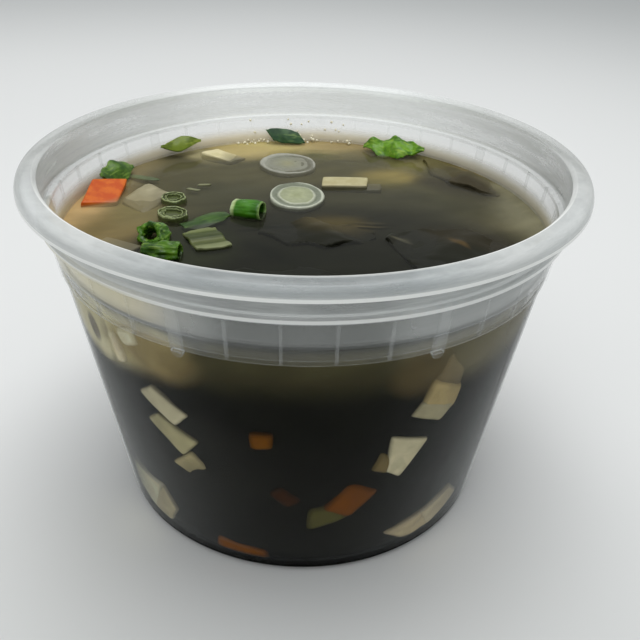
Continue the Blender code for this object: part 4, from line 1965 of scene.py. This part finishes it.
@dataclass(frozen=True)
class Leaf:
    """A thin wavy leaf: sizes in mm, cells along and across."""

    length: float
    width: float
    cells: tuple[int, int]
    tip: float = 0.15
    power: float = 2
    lobes: float = 0
    phase: float = 0
    waves: tuple[tuple[float, float, float, float], ...] = ()
    curl: float = 0
    thickness: float = 0.5
    crumple: float = 0.15
    crumple_size: float = 2.2
    ribs: float = 0
    rib_count: float = 9
    ragged: float = 0.05
    shear: float = 0
    taper: float = 0
    seed: float = 0

    def half_width(self, along: float, side: float) -> float:
        """Half width at a place along the leaf, with its own edge on each side.

        Args:
            along: place along the leaf from -1 to 1.
            side: 1 for the far edge and -1 for the near one.

        Returns:
            The half width in mm.
        """
        body = max(self.tip, 1 - abs(along) ** self.power)
        lobe = 1 + self.lobes * math.sin(3 * math.pi * along + self.phase + 1.7 * side)
        nick = 1 + self.ragged * noise.noise(Vector((along * self.length * 0.8, side * 7, self.seed)))
        return self.width / 2 * body * lobe * nick * (1 + self.taper * along)

    def height(self, x: float, y: float) -> float:
        """Height of the leaf's middle surface in mm.

        Args:
            x: place along it in mm.
            y: place across it in mm.

        Returns:
            The height.
        """
        total = self.curl * (2 * y / self.width) ** 2
        for amplitude, turns_x, turns_y, start in self.waves:
            turns = turns_x * x / self.length + turns_y * y / self.width
            total += amplitude * math.sin(math.tau * turns + start)
        total += self.crumple * noise.noise(Vector((x, y, self.seed)) / self.crumple_size)
        if self.ribs > 0:
            total += self.ribs * abs(math.sin(math.pi * self.rib_count * y / self.width))
        return total

    def build(self, name: str) -> Piece:
        """Build the leaf as a closed thin solid.

        Args:
            name: the object's name.

        Returns:
            The leaf at the origin.
        """
        along_cells, across_cells = self.cells
        bpy.ops.mesh.primitive_grid_add(x_subdivisions=along_cells, y_subdivisions=across_cells, size=2)
        obj = bpy.context.object
        obj.name = name

        def shape(place: Vector) -> Vector:
            """Fit a point of the plain grid to the leaf.

            Args:
                place: the point.

            Returns:
                Its new place.
            """
            side = 1 if place.y > 0 else -1
            y = place.y * self.half_width(place.x, side)
            x = place.x * self.length / 2
            return Vector(((x + self.shear * y) * MM, y * MM, self.height(x, y) * MM))

        move_points(obj, shape)
        shell = obj.modifiers.new("Thickness", "SOLIDIFY")
        shell.thickness = self.thickness * MM
        shell.offset = 0
        apply_modifiers(obj)
        subdivide_smooth(obj, 1)
        return obj


@dataclass
class Toppings:
    """Everything that breaks the surface of the soup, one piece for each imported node."""

    kitchen: Kitchen

    def put(self, obj: Piece, node: str, spot: Spot, finish: Finish, slot: str) -> None:
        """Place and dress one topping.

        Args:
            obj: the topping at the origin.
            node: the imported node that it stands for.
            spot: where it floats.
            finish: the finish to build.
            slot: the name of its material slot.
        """
        settle(obj, spot.matrix(), FOOD_FOLD)
        dress(obj, finish.build(self.kitchen), slot, node)

    def blocks(self) -> None:
        """The carrot and the three cuts of tofu."""
        orange = SoftFood("carrot_flesh", srgb(188, 74, 1), srgb(204, 98, 8), 420, 0.34, 1.3, 0.25, 0.5,
                          shine=0.35)
        tofu = SoftFood("tofu_left_face", srgb(172, 163, 128), srgb(190, 181, 146), 300, 0.45, 1.2,
                        wetting=0.6, soak=0.4)
        cream = SoftFood("tofu_back_face", srgb(196, 186, 138), srgb(210, 200, 158), 300, 0.42, 0.9,
                         wetting=0.5)
        bar = SoftFood("tofu_bar_face", srgb(174, 164, 118), srgb(188, 180, 138), 320, 0.42, 0.8,
                       wetting=0.7, soak=0.1)
        self.put(food_block("carrot_dice", 8.2, 9.2, 2.6, 2.2, 0.10, seed=1), "carrot",
                 Spot(-46.2, 10.6, 0.25, (16, 8, 25)), orange, "carrot")
        self.put(food_block("tofu_dice_left", 9.4, 11, 6, -1.2, 0.3, 1.8, seed=2), "tofu_left",
                 Spot(-36.7, 10.8, -2.65, (5, 5, -40)), tofu, "tofu")
        self.put(food_block("tofu_dice_back", 8.6, 5.4, 2.4, 0.9, 0.15, seed=3), "tofu_back",
                 Spot(-21.6, 38.6, -0.8, (-2, 8, -24)), cream, "tofu")
        self.put(food_block("tofu_dice_bar", 11, 5, 5, 0.3, 0.15, seed=4), "tofu_bar",
                 Spot(9.3, 20.6, -1.6, (4, 1, 2)), bar, "tofu")

    def slices(self) -> None:
        """The two white cross slices."""
        front = Spot(-2.1, 11.6, -0.7, (3, 2, 0))
        back = Spot(-4.7, 34, -1.1, (0, 1.5, 0))
        fresh = (
            (0, srgb(142, 148, 108)), (0.34, srgb(156, 161, 126)), (0.6, srgb(144, 150, 116)),
            (0.66, srgb(180, 184, 162)), (0.74, srgb(106, 112, 92)), (0.9, srgb(118, 124, 106)),
            (0.955, srgb(190, 194, 176)), (1, srgb(168, 172, 154)),
        )
        pale = (
            (0, srgb(146, 142, 104)), (0.3, srgb(134, 134, 110)), (0.62, srgb(126, 126, 110)),
            (0.8, srgb(136, 137, 122)), (0.92, srgb(168, 168, 156)), (1, srgb(142, 142, 128)),
        )
        bright = ScallionFlesh("scallion_heart", front.centre(), 6.2 * MM, 1.12, fresh, 1.6)
        soaked = ScallionFlesh("soaked_heart", back.centre(), 7 * MM, 1.06, pale, 1.8, soak=0.1)
        self.put(slice_of("slice_front", 6.2, 1.5, 1.12, 0.7), "scallion_slice_front", front, bright,
                 "scallion_white")
        self.put(slice_of("slice_back", 7, 1.3, 1.06, 2.1), "scallion_slice_back", back, soaked,
                 "scallion_soaked")

    def tubes(self) -> None:
        """The bright tube, the two thin rings and the two curled cuts."""
        tube_spot = Spot(-12.7, 2.2, 0.7, (0, -4, -18))
        ends = Bands(tube_spot.centre(), -18, 3.5, True, (
            (0, srgb(196, 208, 168)), (0.1, srgb(170, 188, 128)), (0.17, srgb(46, 100, 10)),
            (0.6, srgb(60, 120, 12)), (0.9, srgb(40, 88, 10)), (0.97, srgb(130, 160, 90)),
            (1, srgb(150, 176, 110)),
        ))
        vivid = GreenLeaf("tube_skin", srgb(44, 98, 8), srgb(70, 130, 14), srgb(112, 156, 50), -18, 0.22,
                          bands=ends)
        grass = GreenLeaf("curl_skin", srgb(32, 68, 4), srgb(68, 112, 14), srgb(120, 154, 62), 70, 0.2)
        wrinkled = GreenLeaf("curl_front_skin", srgb(32, 66, 4), srgb(72, 112, 14), srgb(120, 150, 60),
                             -8, 0.2)
        self.put(TubeCut(2.5, 0.6, 6.8, 0.85, ridge=0.025, seed=1).build("tube_cut"), "scallion_tube",
                 tube_spot, vivid, "scallion_green")
        upright = Matrix.Rotation(math.radians(90), 4, "Y")
        for name, radius, spot in (
            ("scallion_ring_back", 2.7, Spot(-30, 8.4, 0, (2, 0, 0))),
            ("scallion_ring_front", 3.1, Spot(-28.9, -0.4, 0, (0, 3, 0))),
        ):
            ring = TubeCut(radius, 0.26, 2.2, 1, 0.06, 26, 0.06, 0.14, radius).build(name + "_outer")
            heart = TubeCut(radius - 0.9, 0.16, 2, 1, 0.06, 11, 0.14, 0.2, radius + 2)
            heart = heart.build(name + "_inner")
            for tube in (ring, heart):
                tube.data.transform(upright)
            filled = ((0, 0.55), (0.5 * radius, 0.45), (0.95 * radius, 0.7), (0.95 * radius, 0.2), (0, 0.1))
            skin = turned(name + "_skin", [(r * MM, z * MM) for r, z in filled], 48)
            whole = join_all(name.replace("scallion_", "thin_"), [ring, heart, skin])
            self.put(whole, name, spot, ThinRing(name + "_skin"), "scallion_pale")
        self.put(TubeCut(3.1, 1.6, 4.4, 0.86, 0.08, 14, 0.07, 0.26, 5).build("curl_cut_back"),
                 "scallion_curl_back", Spot(-31.2, -11.6, 0.5, (0, 40, 70)), grass, "scallion_green")
        self.put(TubeCut(2.2, 0.9, 7.6, 0.85, 0.10, 12, 0.07, 0.3, 8).build("curl_cut_front"),
                 "scallion_curl_front", Spot(-28.4, -18.8, 0.5, (0, -5, -8)), wrinkled,
                 "scallion_green")

    def leaves(self) -> None:
        """The flat cuts of leaf on the soup and against the wall."""
        split = Leaf(7.4, 9.4, (20, 40), 0.92, 8, waves=((0.25, 0, 2, 0.4),), thickness=0.7,
                     crumple=0.03, ribs=0.03, rib_count=13, ragged=0.02, shear=-0.1, taper=0.05, seed=1)
        strip = Leaf(11.6, 5.4, (30, 18), 0.5, 4, curl=-0.7, waves=((0.25, 1, 0, 0.5),), ribs=0.05,
                     seed=2)
        olive = Leaf(11.8, 4.2, (30, 18), power=1.3, curl=-0.3, waves=((0.3, 1, 0, 0.2),), ribs=0.05,
                     ragged=0.03, shear=0.45, seed=3)
        dark = Leaf(8.8, 3.9, (26, 18), 0.75, 6, curl=-0.2, waves=((0.25, 1, 0.2, 1.1),), ribs=0.04,
                    ragged=0.03, shear=-0.8, seed=4)
        left = Leaf(12.6, 5.8, (36, 22), power=1.7, lobes=0.14, curl=-0.5, crumple=0.25, crumple_size=2,
                    waves=((0.5, 1.5, 0.2, 0.3), (0.2, 0.4, 1, 1)), ribs=0.05, shear=0.2, seed=5)
        right = Leaf(17, 6.6, (48, 26), lobes=0.16, phase=0.8, curl=-0.5, crumple=0.6, crumple_size=1.8,
                     waves=((0.55, 2.4, 0.3, 0.6), (0.3, 1, 1.2, 2)), ribs=0.06, ragged=0.12, seed=6)
        split_spot = Spot(-20.3, -12, 0.1, (2, 0, 22))
        pale_bands = Bands(split_spot.centre(), 22, 4.9, False, (
            (0, srgb(128, 134, 98)), (0.2, srgb(104, 110, 70)), (0.3, srgb(58, 66, 24)),
            (0.44, srgb(80, 86, 42)), (0.52, srgb(38, 48, 8)), (0.82, srgb(48, 60, 10)),
            (0.9, srgb(104, 112, 64)), (1, srgb(92, 100, 54)),
        ))
        self.put(split.build("split_cut"), "scallion_split", split_spot,
                 GreenLeaf("split_skin", srgb(70, 84, 18), srgb(96, 108, 38), srgb(124, 134, 74), 22, 0.3,
                           1.6, 900, bands=pale_bands), "scallion_split")
        self.put(strip.build("leaf_strip"), "scallion_strip", Spot(-21.7, -1.9, 0.1, (0, 0, 38)),
                 GreenLeaf("strip_skin", srgb(28, 58, 4), srgb(46, 80, 10), srgb(74, 106, 30), 38),
                 "scallion_green")
        self.put(olive.build("wall_leaf_left"), "leaf_back_left", Spot(-32.3, 38.7, 3.1, (48, 3, 38)),
                 GreenLeaf("olive_skin", srgb(80, 98, 18), srgb(104, 122, 26), srgb(136, 150, 52), 38),
                 "leaf_olive")
        self.put(dark.build("wall_leaf_back"), "leaf_back", Spot(-5.7, 49.5, 2.1, (52, 6, 6)),
                 GreenLeaf("dark_skin", srgb(30, 64, 36), srgb(56, 90, 50), srgb(110, 136, 80), 6),
                 "leaf_dark")
        self.put(left.build("crumpled_leaf_left"), "leaf_left", Spot(-45.1, 20.3, 2.3, (42, 6, 62)),
                 GreenLeaf("crumpled_skin", srgb(44, 78, 14), srgb(80, 116, 26), srgb(112, 142, 54), 62),
                 "leaf_dark")
        self.put(right.build("crumpled_leaf_right"), "leaf_back_right",
                 Spot(22.8, 42.2, 2.2, (34, -4, -24)),
                 GreenLeaf("bright_skin", srgb(56, 100, 10), srgb(98, 144, 20), srgb(140, 172, 56), -24),
                 "leaf_bright")

    def fronds(self) -> None:
        """The four fronds of seaweed at the surface."""
        kinds = (
            ("seaweed_back", 27, 8, 2.4, 0.14, 2, ((0.5, 1.6, 0.2, 0.4), (0.25, 0.8, 1, 1.3)),
             Spot(38.2, 26.8, 0, (2, 0, -56)), srgb(62, 55, 38), srgb(92, 80, 50), 0.6),
            ("seaweed_right", 30, 20, 2.6, 0.12, 0.5, ((0.6, 1.3, 0.5, 0.9), (0.35, 2.2, -0.8, 2.2)),
             Spot(31, -15, -0.2, (0, 0, -25)), srgb(28, 27, 20), srgb(46, 38, 25), 0.84),
            ("seaweed_front", 38, 19, 2.8, 0.13, 3.4, ((0.6, 1.2, 0.6, 2.9), (0.35, 2.4, 0.7, 0.4)),
             Spot(-4.5, -33.5, -0.2, (0, 0, 6)), srgb(28, 29, 22), srgb(40, 40, 30), 0.86),
            ("seaweed_centre", 25, 12, 2.4, 0.15, 1.2, ((0.45, 1.4, 0.4, 1.8), (0.25, 2, 0.9, 0.5)),
             Spot(2.5, -7, -0.3, (0, 0, -4)), srgb(32, 31, 24), srgb(46, 42, 31), 0.84),
        )
        for number, (node, length, width, power, lobes, phase, waves, spot, *skin) in enumerate(kinds):
            frond = Leaf(length, width, (56, 32), power=power, lobes=lobes, phase=phase, waves=waves,
                         thickness=0.8, crumple=0.35, crumple_size=3.5, ragged=0.12, seed=10 + number)
            finish = Seaweed(node + "_skin", *skin)
            self.put(frond.build(node.replace("seaweed", "frond")), node, spot, finish, "seaweed")


@dataclass
class JustUnder:
    """Small bits that lie just under the surface."""

    kitchen: Kitchen

    def build(self) -> None:
        """Build the tail of the left leaf and four bits of tofu."""
        tail = Leaf(9, 2.4, (24, 10), 0.3, 3, thickness=0.4, crumple=0.1, ragged=0.2, seed=21)
        green = GreenLeaf("tail_skin", srgb(52, 84, 44), srgb(70, 98, 60), srgb(84, 108, 70), -16, soak=0.3)
        spot = Spot(-39.6, 22.3, -0.12, (0, 0, -16))
        obj = settle(tail.build("leaf_tail"), spot.matrix(), FOOD_FOLD)
        dress(obj, green.build(self.kitchen), "leaf_dark")
        bits = (
            ("tofu_sliver_left", 3, 0.9, 0.5, Spot(-26.5, 15.4, -0.1, (0, 0, -20)),
             srgb(140, 144, 104), 0.2),
            ("tofu_sliver_right", 2.8, 0.9, 0.5, Spot(-24.2, 18.3, -0.1, (0, 0, 4)),
             srgb(128, 130, 92), 0.2),
            ("tofu_bar_tail", 3.6, 3.8, 1.2, Spot(16.3, 19.8, -0.75, (0, 0, 2)),
             srgb(140, 132, 96), 0.3),
            ("tofu_front_left", 9, 4, 1.2, Spot(-38.2, -14.4, -0.7, (0, 0, -27)),
             srgb(178, 168, 128), 0.3),
        )
        for name, width, depth, height, spot, colour, soak in bits:
            finish = SoftFood(name + "_face", colour, paler(colour), 300, 0.5, soak=soak)
            block = food_block(name, width, depth, height, 0.3, 0.1, min(0.4, 0.35 * height), seed=width)
            dress(settle(block, spot.matrix(), FOOD_FOLD), finish.build(self.kitchen), "tofu")


# ---- what lies sunk behind the wall


class Food(Enum):
    """What a sunk cut is made of, by its material slot."""

    TOFU = "tofu"
    CARROT = "carrot"
    LEAF = "scallion_green"


@dataclass(frozen=True)
class SunkCut:
    """A cut of food against the wall.

    The corners of its outer face go round from the lower left: azimuth in degrees, then height in mm.
    """

    name: str
    corners: tuple[tuple[float, float], ...]
    colour: Colour
    food: Food = Food.TOFU
    behind: float = 0.15
    rounding: float = 0.7
    thick: float = 4
    lean: float = 0
    floor_gap: float = 0.2

    def size(self) -> tuple[float, float]:
        """Mean width and height of the outer face.

        Returns:
            Both in mm.
        """
        radius = TUB.inside(self.corners[0][1] * MM) / MM
        flat = [Vector((math.radians(azimuth) * radius, height)) for azimuth, height in self.corners]
        width = (flat[1] - flat[0]).length + (flat[2] - flat[3]).length
        tall = (flat[3] - flat[0]).length + (flat[2] - flat[1]).length
        return width / 2, tall / 2

    def build(self) -> Piece:
        """Build the cut with its outer face along the wall.

        Returns:
            The cut in place.
        """
        width, tall = self.size()
        rounding = min(self.rounding, 0.3 * tall, 0.3 * width)
        obj = food_block(self.name, width, tall, self.thick, 0, 0.12, rounding, self.corners[0][1] * 0.07)
        near, right, far, left = (Vector(corner) for corner in self.corners)
        lowest = TUB.floor / MM + self.floor_gap

        def wrapped(place: Vector) -> Vector:
            """Lay a point of the block against the curved wall.

            Args:
                place: the point.

            Returns:
                Its new place.
            """
            across = place.x / (width * MM) + 0.5
            up = place.y / (tall * MM) + 0.5
            azimuth, height = near.lerp(right, across).lerp(left.lerp(far, across), up)
            angle = math.radians(azimuth)
            height = max(lowest, height)
            behind = (self.behind + self.lean * across + self.thick / 2) * MM
            reach = TUB.inside(height * MM) - behind + place.z
            return Vector((reach * math.sin(angle), -reach * math.cos(angle), height * MM))

        move_points(obj, wrapped)
        return settle(obj, smooth=FOOD_FOLD)

    def finish(self) -> SoftFood:
        """The finish of the cut: its own colour with slightly paler blotches."""
        return SoftFood(self.name + "_face", self.colour, paler(self.colour), 260, 0.6, 1.1, shine=0.03)


@dataclass
class Sunk:
    """Cuts of tofu, carrot and leaf seen through the wall."""

    kitchen: Kitchen
    cuts: tuple[SunkCut, ...] = (
        SunkCut("sunk_tofu_a", ((-41.2, 42.5), (-31.1, 37), (-26.4, 41.3), (-35.9, 45.9)),
                srgb(240, 230, 190)),
        SunkCut("sunk_tofu_b", ((-40.6, 35.6), (-30.6, 28.8), (-25, 34.5), (-36.2, 38.6)),
                srgb(222, 212, 160), behind=0.25),
        SunkCut("sunk_tofu_c", ((-35.6, 25.4), (-28.1, 22.5), (-22.1, 26.4), (-27.8, 31.4)),
                srgb(232, 216, 160), behind=0.2, rounding=1, lean=0.7),
        SunkCut("sunk_tofu_d", ((-64, 5), (-50, 1.4), (-41.6, 15.2), (-61, 13.6)),
                srgb(248, 238, 202), behind=0.06, rounding=1.5),
        SunkCut("sunk_tofu_l", ((-54.6, 1.4), (-43, 2.4), (-38.6, 8.4), (-42.4, 14.8)),
                srgb(214, 202, 165)),
        SunkCut("sunk_tofu_e", ((24.8, 42.4), (34.1, 38.3), (37.8, 42.5), (27.3, 45.7)),
                srgb(208, 198, 158), behind=0.2),
        SunkCut("sunk_tofu_f", ((21, 28.2), (25.4, 25.5), (32.2, 34.7), (20.7, 38.5)),
                srgb(234, 224, 184)),
        SunkCut("sunk_tofu_g", ((23.5, 7.5), (34, 1.2), (43.8, 1.8), (39, 10)),
                srgb(240, 221, 178), behind=0.25, rounding=1.2),
        SunkCut("sunk_tofu_h", ((35.4, 9.6), (41, 1.4), (57.8, 6.3), (49.4, 12.6)),
                srgb(230, 216, 180), behind=0.14, rounding=1.4),
        SunkCut("sunk_tofu_i", ((-45, 56.5), (-42, 52.6), (-36.4, 54.9), (-37.6, 59.2)),
                srgb(252, 248, 212), behind=0.05, rounding=1.7),
        SunkCut("sunk_tofu_j", ((-46.6, 47), (-42.8, 48.6), (-45, 55), (-48.2, 54.5)),
                srgb(252, 236, 206), behind=0.05, rounding=1.3),
        SunkCut("sunk_tofu_k", ((-54.9, 44.5), (-50, 45), (-48.6, 51.4), (-57.6, 51)),
                srgb(248, 236, 198), behind=0.05, rounding=1.5),
        SunkCut("sunk_strip_low", ((26.6, 43.5), (38.2, 40), (39.4, 46.4), (29.4, 51)),
                srgb(232, 208, 146), behind=0.25, rounding=1.3),
        SunkCut("sunk_strip_high", ((28.2, 47.5), (39, 43.5), (38.9, 50.4), (32.4, 57.5)),
                srgb(168, 150, 111), behind=0.55, rounding=1.6),
        SunkCut("sunk_carrot_a", ((-12.3, 35.7), (-6.3, 36.4), (-6.1, 41.3), (-12.5, 40.5)),
                srgb(126, 76, 6), Food.CARROT, 0.2, 1.3),
        SunkCut("sunk_carrot_b", ((-8.7, 23.7), (-3.9, 19.3), (1.1, 22.1), (-5.1, 26.6)),
                srgb(68, 36, 8), Food.CARROT, 0.25, 1.3),
        SunkCut("sunk_carrot_c", ((-26.1, 1.6), (-8.7, 0.8), (-9.8, 4.9), (-24.6, 6.6)),
                srgb(142, 82, 16), Food.CARROT, 0.25, 1),
        SunkCut("sunk_carrot_d", ((4.6, 18.6), (13, 15.6), (21.2, 22.8), (12, 27.4)),
                srgb(134, 76, 12), Food.CARROT, 0.25, 1.4),
        SunkCut("sunk_leaf_d", ((0.6, 11.2), (13.8, 15.6), (10.4, 20.8), (1.6, 19.6)),
                srgb(118, 113, 60), Food.LEAF, 0.45, 1.6),
        SunkCut("sunk_leaf_f", ((16.6, 29.4), (21.6, 27.3), (23.2, 31.8), (18.9, 34.8)),
                srgb(140, 122, 78), Food.LEAF, 0.2, 1),
    )

    def build(self) -> None:
        """Build every sunk cut."""
        for cut in self.cuts:
            dress(cut.build(), cut.finish().build(self.kitchen), cut.food.value)


# ---- bubbles


@dataclass
class Bubbles:
    """Tiny bubbles along the far edge of the soup and on the wall above it."""

    kitchen: Kitchen
    count: int = 60
    seed: int = 7
    spread: Span = (-22, 14)
    floating: float = 0.75
    radii: Span = (0.16, 0.42)

    def build(self) -> None:
        """Build the bubbles as one piece."""
        dice = random.Random(self.seed)
        balls = []
        for _ in range(self.count):
            azimuth = math.radians(180 - dice.uniform(*self.spread))
            lift = dice.uniform(-0.1, 1) if dice.random() < self.floating else dice.uniform(1, 6)
            inward = dice.uniform(0.2, 1.4) if lift < 1 else 0.1
            height = LEVEL + lift * MM
            reach = TUB.inner_radius(height) - inward * MM
            size = dice.uniform(*self.radii) * MM
            place = (reach * math.sin(azimuth), -reach * math.cos(azimuth), height)
            bpy.ops.mesh.primitive_ico_sphere_add(subdivisions=2, radius=size, location=place)
            balls.append(bpy.context.object)
        dress(settle(join_all("edge_bubbles", balls), smooth=80), Bubble().build(self.kitchen), "broth")


# ---- floor, lights and camera


@dataclass(frozen=True)
class SoftLight:
    """A soft square light: its place, aim and side in metres, and its power in watts."""

    name: str
    place: Point
    aim: Point
    side: float
    power: float

    def build(self) -> None:
        """Hang the light and turn it to its aim."""
        data = bpy.data.lights.new(self.name, "AREA")
        data.shape = "SQUARE"
        data.size = self.side
        data.energy = self.power
        turn = (Vector(self.aim) - Vector(self.place)).to_track_quat("-Z", "Y").to_matrix().to_4x4()
        obj = linked(bpy.data.objects.new(self.name, data))
        obj.matrix_world = Matrix.Translation(self.place) @ turn


@dataclass(frozen=True)
class Studio:
    """Pale floor, soft light and the camera at the photograph's angle."""

    kitchen: Kitchen
    lens: float = 45.504
    sensor: float = 36
    eye: Point = (0, -163.602 * MM, 135.390 * MM)
    tilt: float = 30.99
    pan: float = 1.33
    roll: float = 1.61
    floor_side: float = 6
    floor_centre: Point = (0, 1.5, -0.2 * MM)
    sky: Point = (0.965, 0.99, 0.985)
    sky_strength: float = 0.55
    layers_seen_through: int = 32
    lights: tuple[SoftLight, ...] = (
        SoftLight("Ceiling", (0.03, 0.1, 0.9), (0, 0, 0.03), 0.6, 4.4),
        SoftLight("Window", (-0.15, -0.55, 0.75), (0, 0, 0.05), 0.5, 1.2),
    )

    def camera(self) -> None:
        """Place the camera."""
        data = bpy.data.cameras.new("Camera")
        data.lens = self.lens
        data.sensor_width = self.sensor
        data.clip_start = 0.01
        obj = linked(bpy.data.objects.new("Camera", data))
        tilt, pan, roll = (math.radians(angle) for angle in (self.tilt, self.pan, self.roll))
        forward = Vector((math.sin(pan) * math.cos(tilt), math.cos(pan) * math.cos(tilt), -math.sin(tilt)))
        right = forward.cross(Vector((0, 0, 1))).normalized()
        up = right.cross(forward)
        across = right * math.cos(roll) + up * math.sin(roll)
        upright = up * math.cos(roll) - right * math.sin(roll)
        turn = Matrix((across, upright, -forward)).transposed().to_4x4()
        obj.matrix_world = Matrix.Translation(self.eye) @ turn
        bpy.context.scene.camera = obj

    def floor(self) -> None:
        """Lay the floor."""
        bpy.ops.mesh.primitive_plane_add(size=self.floor_side, location=self.floor_centre)
        obj = bpy.context.object
        obj.name = "floor"
        bpy.ops.object.transform_apply(location=True, rotation=True, scale=True)
        obj.data.materials.append(FloorPaint().build(self.kitchen))

    def build(self) -> None:
        """Build the floor, the lights, the surroundings and the camera."""
        self.camera()
        self.floor()
        world = bpy.data.worlds.new("Surroundings")
        world.use_nodes = True
        background = world.node_tree.nodes["Background"]
        background.inputs["Color"].default_value = (*self.sky, 1)
        background.inputs["Strength"].default_value = self.sky_strength
        scene = bpy.context.scene
        scene.world = world
        for light in self.lights:
            light.build()
        scene.view_settings.view_transform = "Standard"
        scene.view_settings.look = "None"
        scene.cycles.transparent_max_bounces = self.layers_seen_through


def main() -> None:
    """Build the dressed part in order and report each piece."""
    logging.basicConfig(level=logging.INFO, format="%(name)s: %(message)s")
    noise.seed_set(NOISE_SEED)
    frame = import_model()
    LOG.info("frame: %d nodes", len(frame["nodes"]))
    kitchen = Kitchen(Broth(), Speckle())
    Studio(kitchen).build()
    Tub(kitchen).build()
    Soup(kitchen).build()
    toppings = Toppings(kitchen)
    toppings.blocks()
    toppings.slices()
    toppings.tubes()
    toppings.leaves()
    toppings.fronds()
    JustUnder(kitchen).build()
    Sunk(kitchen).build()
    Bubbles(kitchen).build()


if __name__ == "__main__":
    main()
